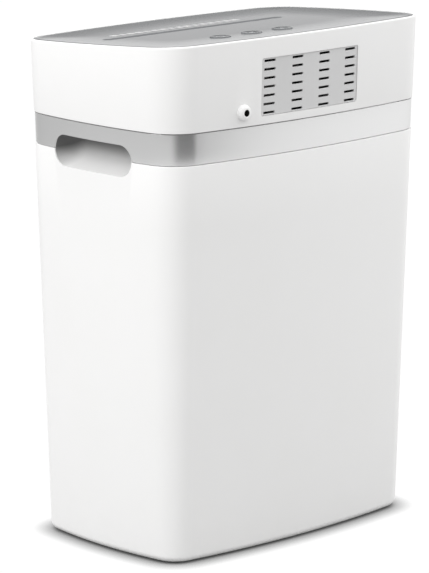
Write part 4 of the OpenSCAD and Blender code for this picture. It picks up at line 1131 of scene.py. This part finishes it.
RING_R, LINE, RING_GAP, BAR_MIDDLE, BAR_HALF = 3.4, 0.42, 1.3, 2.9, 2.1
TIP, TAIL, SPREAD = 3.2, -1.4, 0.62


def power_sign(u, v):
    """A ring that is open at its top, with a bar in the gap; sizes in millimetres."""
    ring = (abs(distance(u, v) - RING_R) < LINE) * (1 - (abs(u) < RING_GAP) * (v > 0))
    bar = (abs(u) < LINE) * (abs(v - BAR_MIDDLE) < BAR_HALF)
    return ring + bar


def arrow_sign(direction):
    """An arrowhead that points along the feed, or back out of it."""
    def sign(u, v):
        along = v * direction
        head = (abs(u) < (TIP - along) * SPREAD) * (along > TAIL)
        return head * (along < TIP)
    return sign


# %% [markdown]
# ## Silver paint
# The band is painted silver: a metallic coat of small aluminium flakes under a clear coat. A
# metallic base with a medium roughness gives the long soft reflections, cells a third of a
# millimetre wide vary the gloss from flake to flake, and the paint's skin has a faint waviness.

# %% Silver paint


def silver_paint():
    """Metallic paint with fine flakes."""
    finish = Finish("silver paint", Metallic=0.92)
    spark = finish.cells(3000)
    wave = finish.noise(160, 2)
    finish.tint(grey(0.735), grey(0.76), spark)
    finish.feed("Roughness", 0.25 + 0.02 * spark)
    finish.grain(wave, 0.003 * MM, 0.5)
    return finish.material


# %% [markdown]
# ## The plain plastics
# The grille, the inner dark parts, the pale gears and the rubber feet need less: a base tone with
# clouds, a grain of the right size and a roughness of their own. One function makes them all.

# %% Plastics and rubber


def moulded(name, tone, spread, rough, grain_scale=1500, grain_height=0.015 * MM, warm=0.0):
    """A moulded plastic of one tone, with clouds and a grain."""
    finish = Finish(name, IOR=1.5)
    clouds = finish.noise(30, 3)
    grain = finish.noise(grain_scale, 2)
    finish.tint(grey(tone * (1 - spread), warm), grey(tone * (1 + spread), warm), clouds)
    finish.feed("Roughness", rough + 0.08 * clouds + 0.05 * grain)
    finish.grain(grain, grain_height, 0.6)
    return finish.material


# %% [markdown]
# ## The metals inside
# Each metal shows how it was made. Zinc plate has faint spangles, ground shafts have fine lines
# round them, sintered gears are porous, the armature is a stack of thin sheets and the cutters
# are blackened with bright ground faces. The lines come from noise stretched along one axis.

# %% Metals


def metal(name, dark, light, rough, pattern):
    """A metal whose pattern field moves its colour and its gloss."""
    finish = Finish(name, Metallic=1.0)
    field = pattern(finish)
    finish.tint(dark, light, field)
    finish.feed("Roughness", rough + 0.12 * field)
    finish.grain(field, 0.01 * MM, 0.35)
    return finish.material


def spangles(finish):
    return finish.cells(160)


def turned_lines(finish):
    return finish.noise(900, 2, (1, 0.05, 0.05))


def ground_lines(finish):
    return finish.noise(700, 3, (0.06, 1, 1))


def pores(finish):
    return finish.noise(2600, 3)


def sheets(finish):
    return finish.noise(2000, 1, (1, 0.002, 0.002))


# %% [markdown]
# ## The electronics
# The boards are green with a faint pattern of tracks under the resist, made from a grid of square
# cells that snaps a noise to them. The parts on the boards each have their own colour.

# %% Boards and components
TRACK = 2 * MM


def board_green():
    """Solder resist over copper tracks."""
    finish = Finish("solder resist", IOR=1.5)
    snapped = finish.add("ShaderNodeVectorMath", {"operation": "SNAP"},
                         {0: finish.point(), 1: (TRACK, TRACK, TRACK)})
    cells = finish.add("ShaderNodeTexNoise", None, {"Vector": snapped, "Scale": 180.0, "Detail": 0.0})
    tracks = cells.ramp(0.5, 0.56)
    finish.tint((0.012, 0.085, 0.035), (0.03, 0.17, 0.07), tracks)
    finish.feed("Roughness", 0.25 + 0.1 * tracks)
    finish.grain(tracks, 0.03 * MM, 0.8)
    return finish.material


def component(name, colour, rough=0.4):
    """A moulded or wrapped component of one colour."""
    finish = Finish(name, IOR=1.5)
    clouds = finish.noise(120, 2)
    dark = tuple(0.85 * c for c in colour)
    finish.tint(dark, colour, clouds)
    finish.feed("Roughness", rough + 0.1 * clouds)
    finish.grain(finish.noise(1800, 2), 0.01 * MM, 0.5)
    return finish.material


# %% [markdown]
# ## Putting the finishes on
# The record names a material slot for each node of the frame, so one table from slot to finish
# dresses every node that is kept, and a few components get a colour of their own. The new shells
# take theirs from the same table. The gland, the hand cups, the printed marks and the button caps
# get the finishes that were made for them.

# %% Dress every piece
FINISHES = {
    "white_plastic": white_styrene(),
    "grey_panel": satin_grey("panel grey"),
    "silver_trim": silver_paint(),
    "grille_grey": moulded("grille grey", 0.60, 0.03, 0.42),
    "dark_plastic": moulded("dark styrene", 0.045, 0.08, 0.45),
    "natural_plastic": moulded("natural acetal", 0.72, 0.02, 0.35, warm=0.09),
    "rubber": moulded("foot rubber", 0.03, 0.12, 0.75, 900, 0.05 * MM),
    "plate_steel": metal("zinc plate", grey(0.52), grey(0.63), 0.30, spangles),
    "cutter_steel": metal("hardened steel", grey(0.26, 0.04), grey(0.42, 0.02), 0.30, ground_lines),
    "shaft_steel": metal("ground steel", grey(0.55), grey(0.66), 0.22, turned_lines),
    "gear_steel": metal("sintered steel", grey(0.34, 0.04), grey(0.46, 0.02), 0.38, pores),
    "bronze": metal("sintered bronze", (0.45, 0.30, 0.15), (0.58, 0.40, 0.22), 0.36, pores),
    "can_steel": metal("plated can", grey(0.27), grey(0.34), 0.32, turned_lines),
    "magnet": moulded("ferrite", 0.06, 0.1, 0.55, 2400, 0.03 * MM),
    "core_steel": metal("sheet stack", (0.24, 0.21, 0.19), (0.46, 0.42, 0.38), 0.34, sheets),
    "copper": metal("turned copper", (0.62, 0.28, 0.16), (0.78, 0.40, 0.25), 0.26, turned_lines),
    "board": board_green(),
    "component": component("black component", (0.03, 0.03, 0.033)),
}
OWN_FINISH = {
    "relays": component("relay blue", (0.02, 0.09, 0.30)),
    "capacitors": component("capacitor sleeve", (0.02, 0.025, 0.07), 0.28),
    "transformer": component("winding tape", (0.60, 0.42, 0.06)),
    "terminal_block": component("terminal green", (0.04, 0.28, 0.10)),
    "switch_plunger": component("plunger red", (0.40, 0.03, 0.025)),
}
SIGNS = {
    "power_button": power_sign,
    "reverse_button": arrow_sign(-1),
    "forward_button": arrow_sign(1),
}


def dress(obj, material):
    """Gives an object one finish, on its own material slot."""
    if not obj.material_slots:
        obj.data.materials.append(material)
    for material_slot in obj.material_slots:
        material_slot.link = "OBJECT"
        material_slot.material = material


slot_of = {part["node"]: part["material_slot"] for part in frame["record"]["subparts"]}
for node, obj in frame["nodes"].items():
    dress(obj, OWN_FINISH.get(node, FINISHES[slot_of[node]]))
for piece in (bin_tub, silver_band, white_cover, grey_panel, vent_plate):
    dress(piece, FINISHES[piece["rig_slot"]])
dress(gland, white_with_painted_bore_shade())
for piece in (hand_cup_left, hand_cup_right):
    dress(piece, white_with_painted_cup_shade())
dress(guide_marks, component("white print", (0.62, 0.62, 0.62), 0.35))
for node, cap in buttons.items():
    dress(cap, satin_grey(node + " grey", SIGNS[node], button_place(node)))
print("dressed", len(frame["nodes"]), "nodes with", len(FINISHES) + len(OWN_FINISH), "finishes")

# %% [markdown]
# ## The studio
# The object stands on a pale floor in a plain white room. Light comes from all sides, more from
# above than from the level, and a large soft lamp on its left and a weaker one on its right lie
# over it. What a camera or a mirror sees of the room is white at a strength of 1. The floor
# bounces plain diffuse light, but what is seen of it is white paper with the contact shadow laid
# on: an ambient occlusion node tells how much open sky a point near the object has, and a power
# of that makes a shadow that hugs the base, as in a room with light from everywhere.

# %% Floor, room and lamps


def seen_directly(nodes):
    """1 where a camera, a mirror or glass looks, 0 where the surface only gets light."""
    path = nodes.tree.nodes.new("ShaderNodeLightPath")
    camera, glossy, through = (Field(nodes, path.outputs[name]) for name in
                               ("Is Camera Ray", "Is Glossy Ray", "Is Transmission Ray"))
    return camera.math("MAXIMUM", glossy).math("MAXIMUM", through)


WHITE = (1, 1, 1, 1)
ROOM_LIGHT, SKY_LIGHT = 0.6, 1.23
FLOOR_SIZE, FLOOR_BOUNCE = 60.0, 0.35
CONTACT_REACH, CONTACT_TONE, CONTACT_FALL, WHITE_OUT = 20 * MM, 0.02, 1.35, 1.02

world = bpy.data.worlds.new("studio")
bpy.context.scene.world = world
world.use_nodes = True
room = Nodes(world.node_tree)
up = room.part(room.add("ShaderNodeTexCoord", output=0), "z")
sky = ROOM_LIGHT + SKY_LIGHT * up.math("MAXIMUM", 0)
even = room.add("ShaderNodeBackground", None, {"Color": WHITE, "Strength": sky})
backdrop = room.add("ShaderNodeBackground", None, {"Color": WHITE, "Strength": 1.0})
both = room.add("ShaderNodeMixShader", None, {0: seen_directly(room), 1: even, 2: backdrop})
room.put(world.node_tree.nodes["World Output"].inputs["Surface"], both)

bm = bmesh.new()
bmesh.ops.create_grid(bm, x_segments=1, y_segments=1, size=FLOOR_SIZE / 2)
floor = mesh_object("studio_floor", bm)
paper = Finish("pale floor")
bounce = paper.add("ShaderNodeBsdfDiffuse", None, {"Color": (*grey(FLOOR_BOUNCE), 1)})
open_part = paper.add("ShaderNodeAmbientOcclusion", {"samples": 8}, {"Distance": CONTACT_REACH}, output=1)
shadow = CONTACT_TONE + (WHITE_OUT - CONTACT_TONE) * open_part.math("POWER", CONTACT_FALL)
seen = paper.add("ShaderNodeEmission", None, {"Color": WHITE, "Strength": shadow})
paper.surface(paper.add("ShaderNodeMixShader", None, {0: seen_directly(paper), 1: bounce, 2: seen}))
dress(floor, paper.material)


def place_facing(name, data, target, bearing, height, away):
    """Puts a lamp or a camera at a bearing and a height in degrees, facing its target."""
    obj = bpy.data.objects.new(name, data)
    bpy.context.scene.collection.objects.link(obj)
    around, above = math.radians(bearing), math.radians(height)
    level_part = math.cos(above)
    towards = Vector((math.sin(around) * level_part, -math.cos(around) * level_part, math.sin(above)))
    obj.location = target + away * towards
    obj.rotation_euler = (-towards).to_track_quat("-Z", "Y").to_euler()
    return obj


LAMP_SIZE, LAMP_AWAY = 1.6, 3.1
for name, bearing, height, power in (("side lamp", -96, 42, 42), ("rear lamp", 72, 35, 27)):
    light = bpy.data.lights.new(name, "AREA")
    light.size = LAMP_SIZE
    light.energy = power
    place_facing(name, light, Vector((0, 0, BODY_H / 2)), bearing, height, LAMP_AWAY)
print("studio with a floor", FLOOR_SIZE, "m wide and lamps", LAMP_AWAY, "m away")

# %% [markdown]
# ## The reflection screen
# Silver paint and a satin panel need something to mirror. A funnel without a floor stands round
# the object at arm's length, flared so that it also fills the flat glances off the top. Its glow
# follows the direction round the object through a ramp of greys, bright on most sides and dark on
# one, as the far end of a studio is, and it falls off with height, which shades the panel's far
# border. Only glossy rays see it, so it lights nothing and throws no shadow.

# %% Reflection screen
SCREEN_R, SCREEN_H, SCREEN_FLARE = 1.0, 2.2, 2.8
BRIGHT_TO, DARK_FROM, OVERHEAD = 0.48, 0.86, 0.04
TONES = ((-180, 0.6), (-158, 0.55), (-130, 0.68), (-52, 0.70), (-34, 0.17), (10, 0.17), (32, 1.0), (60, 1.12),
         (100, 0.95), (140, 1.0), (165, 0.9), (180, 0.5))

bm = bmesh.new()
bmesh.ops.create_cone(bm, cap_ends=True, segments=FINE_ROUND, radius1=SCREEN_R,
                      radius2=SCREEN_R + SCREEN_FLARE * SCREEN_H, depth=SCREEN_H,
                      matrix=Matrix.Translation((0, 0, SCREEN_H / 2)))
under = [f for f in bm.faces if f.calc_center_median().z < MM]
bmesh.ops.delete(bm, geom=under, context="FACES")
screen = mesh_object("reflection_screen", bm)
glowing = Finish("screen glow")
x, y, z = (glowing.part(glowing.point(), axis) for axis in "xyz")
around = x.math("ARCTAN2", 0 - y) / (2 * math.pi) + 0.5
tone = glowing.add("ShaderNodeValToRGB", {"stops": [(a / 360 + 0.5, v) for a, v in TONES]}, {0: around})
low_part = 1 - z.ramp(BRIGHT_TO, DARK_FROM)
strength = tone * low_part + OVERHEAD * (1 - low_part)
glowing.surface(glowing.add("ShaderNodeEmission", None, {"Color": WHITE, "Strength": strength}))
dress(screen, glowing.material)
screen.visible_camera = False
screen.visible_diffuse = False
screen.visible_transmission = False
screen.visible_shadow = False
print("screen with", len(TONES), "tones round the object")

# %% [markdown]
# ## The camera
# The camera stands behind the object and to its left, a little above it, with a long lens, so
# upright edges stay nearly parallel.

# %% Camera
AZIMUTH, ELEVATION, DISTANCE = -43.7, 12.3, 3.352
LOOK_AT = Vector((-0.0028, 0.0027, 0.2264))
camera_data = bpy.data.cameras.new("camera")
camera_data.lens = 219.95
camera_data.sensor_width = 36
camera_data.shift_x = -0.01185
camera_data.shift_y = 0.0027
camera = place_facing("camera", camera_data, LOOK_AT, AZIMUTH, ELEVATION, DISTANCE)
bpy.context.scene.camera = camera
bpy.context.scene.view_settings.view_transform = "Standard"

# %% Bring the scene up to date
bpy.context.view_layer.update()
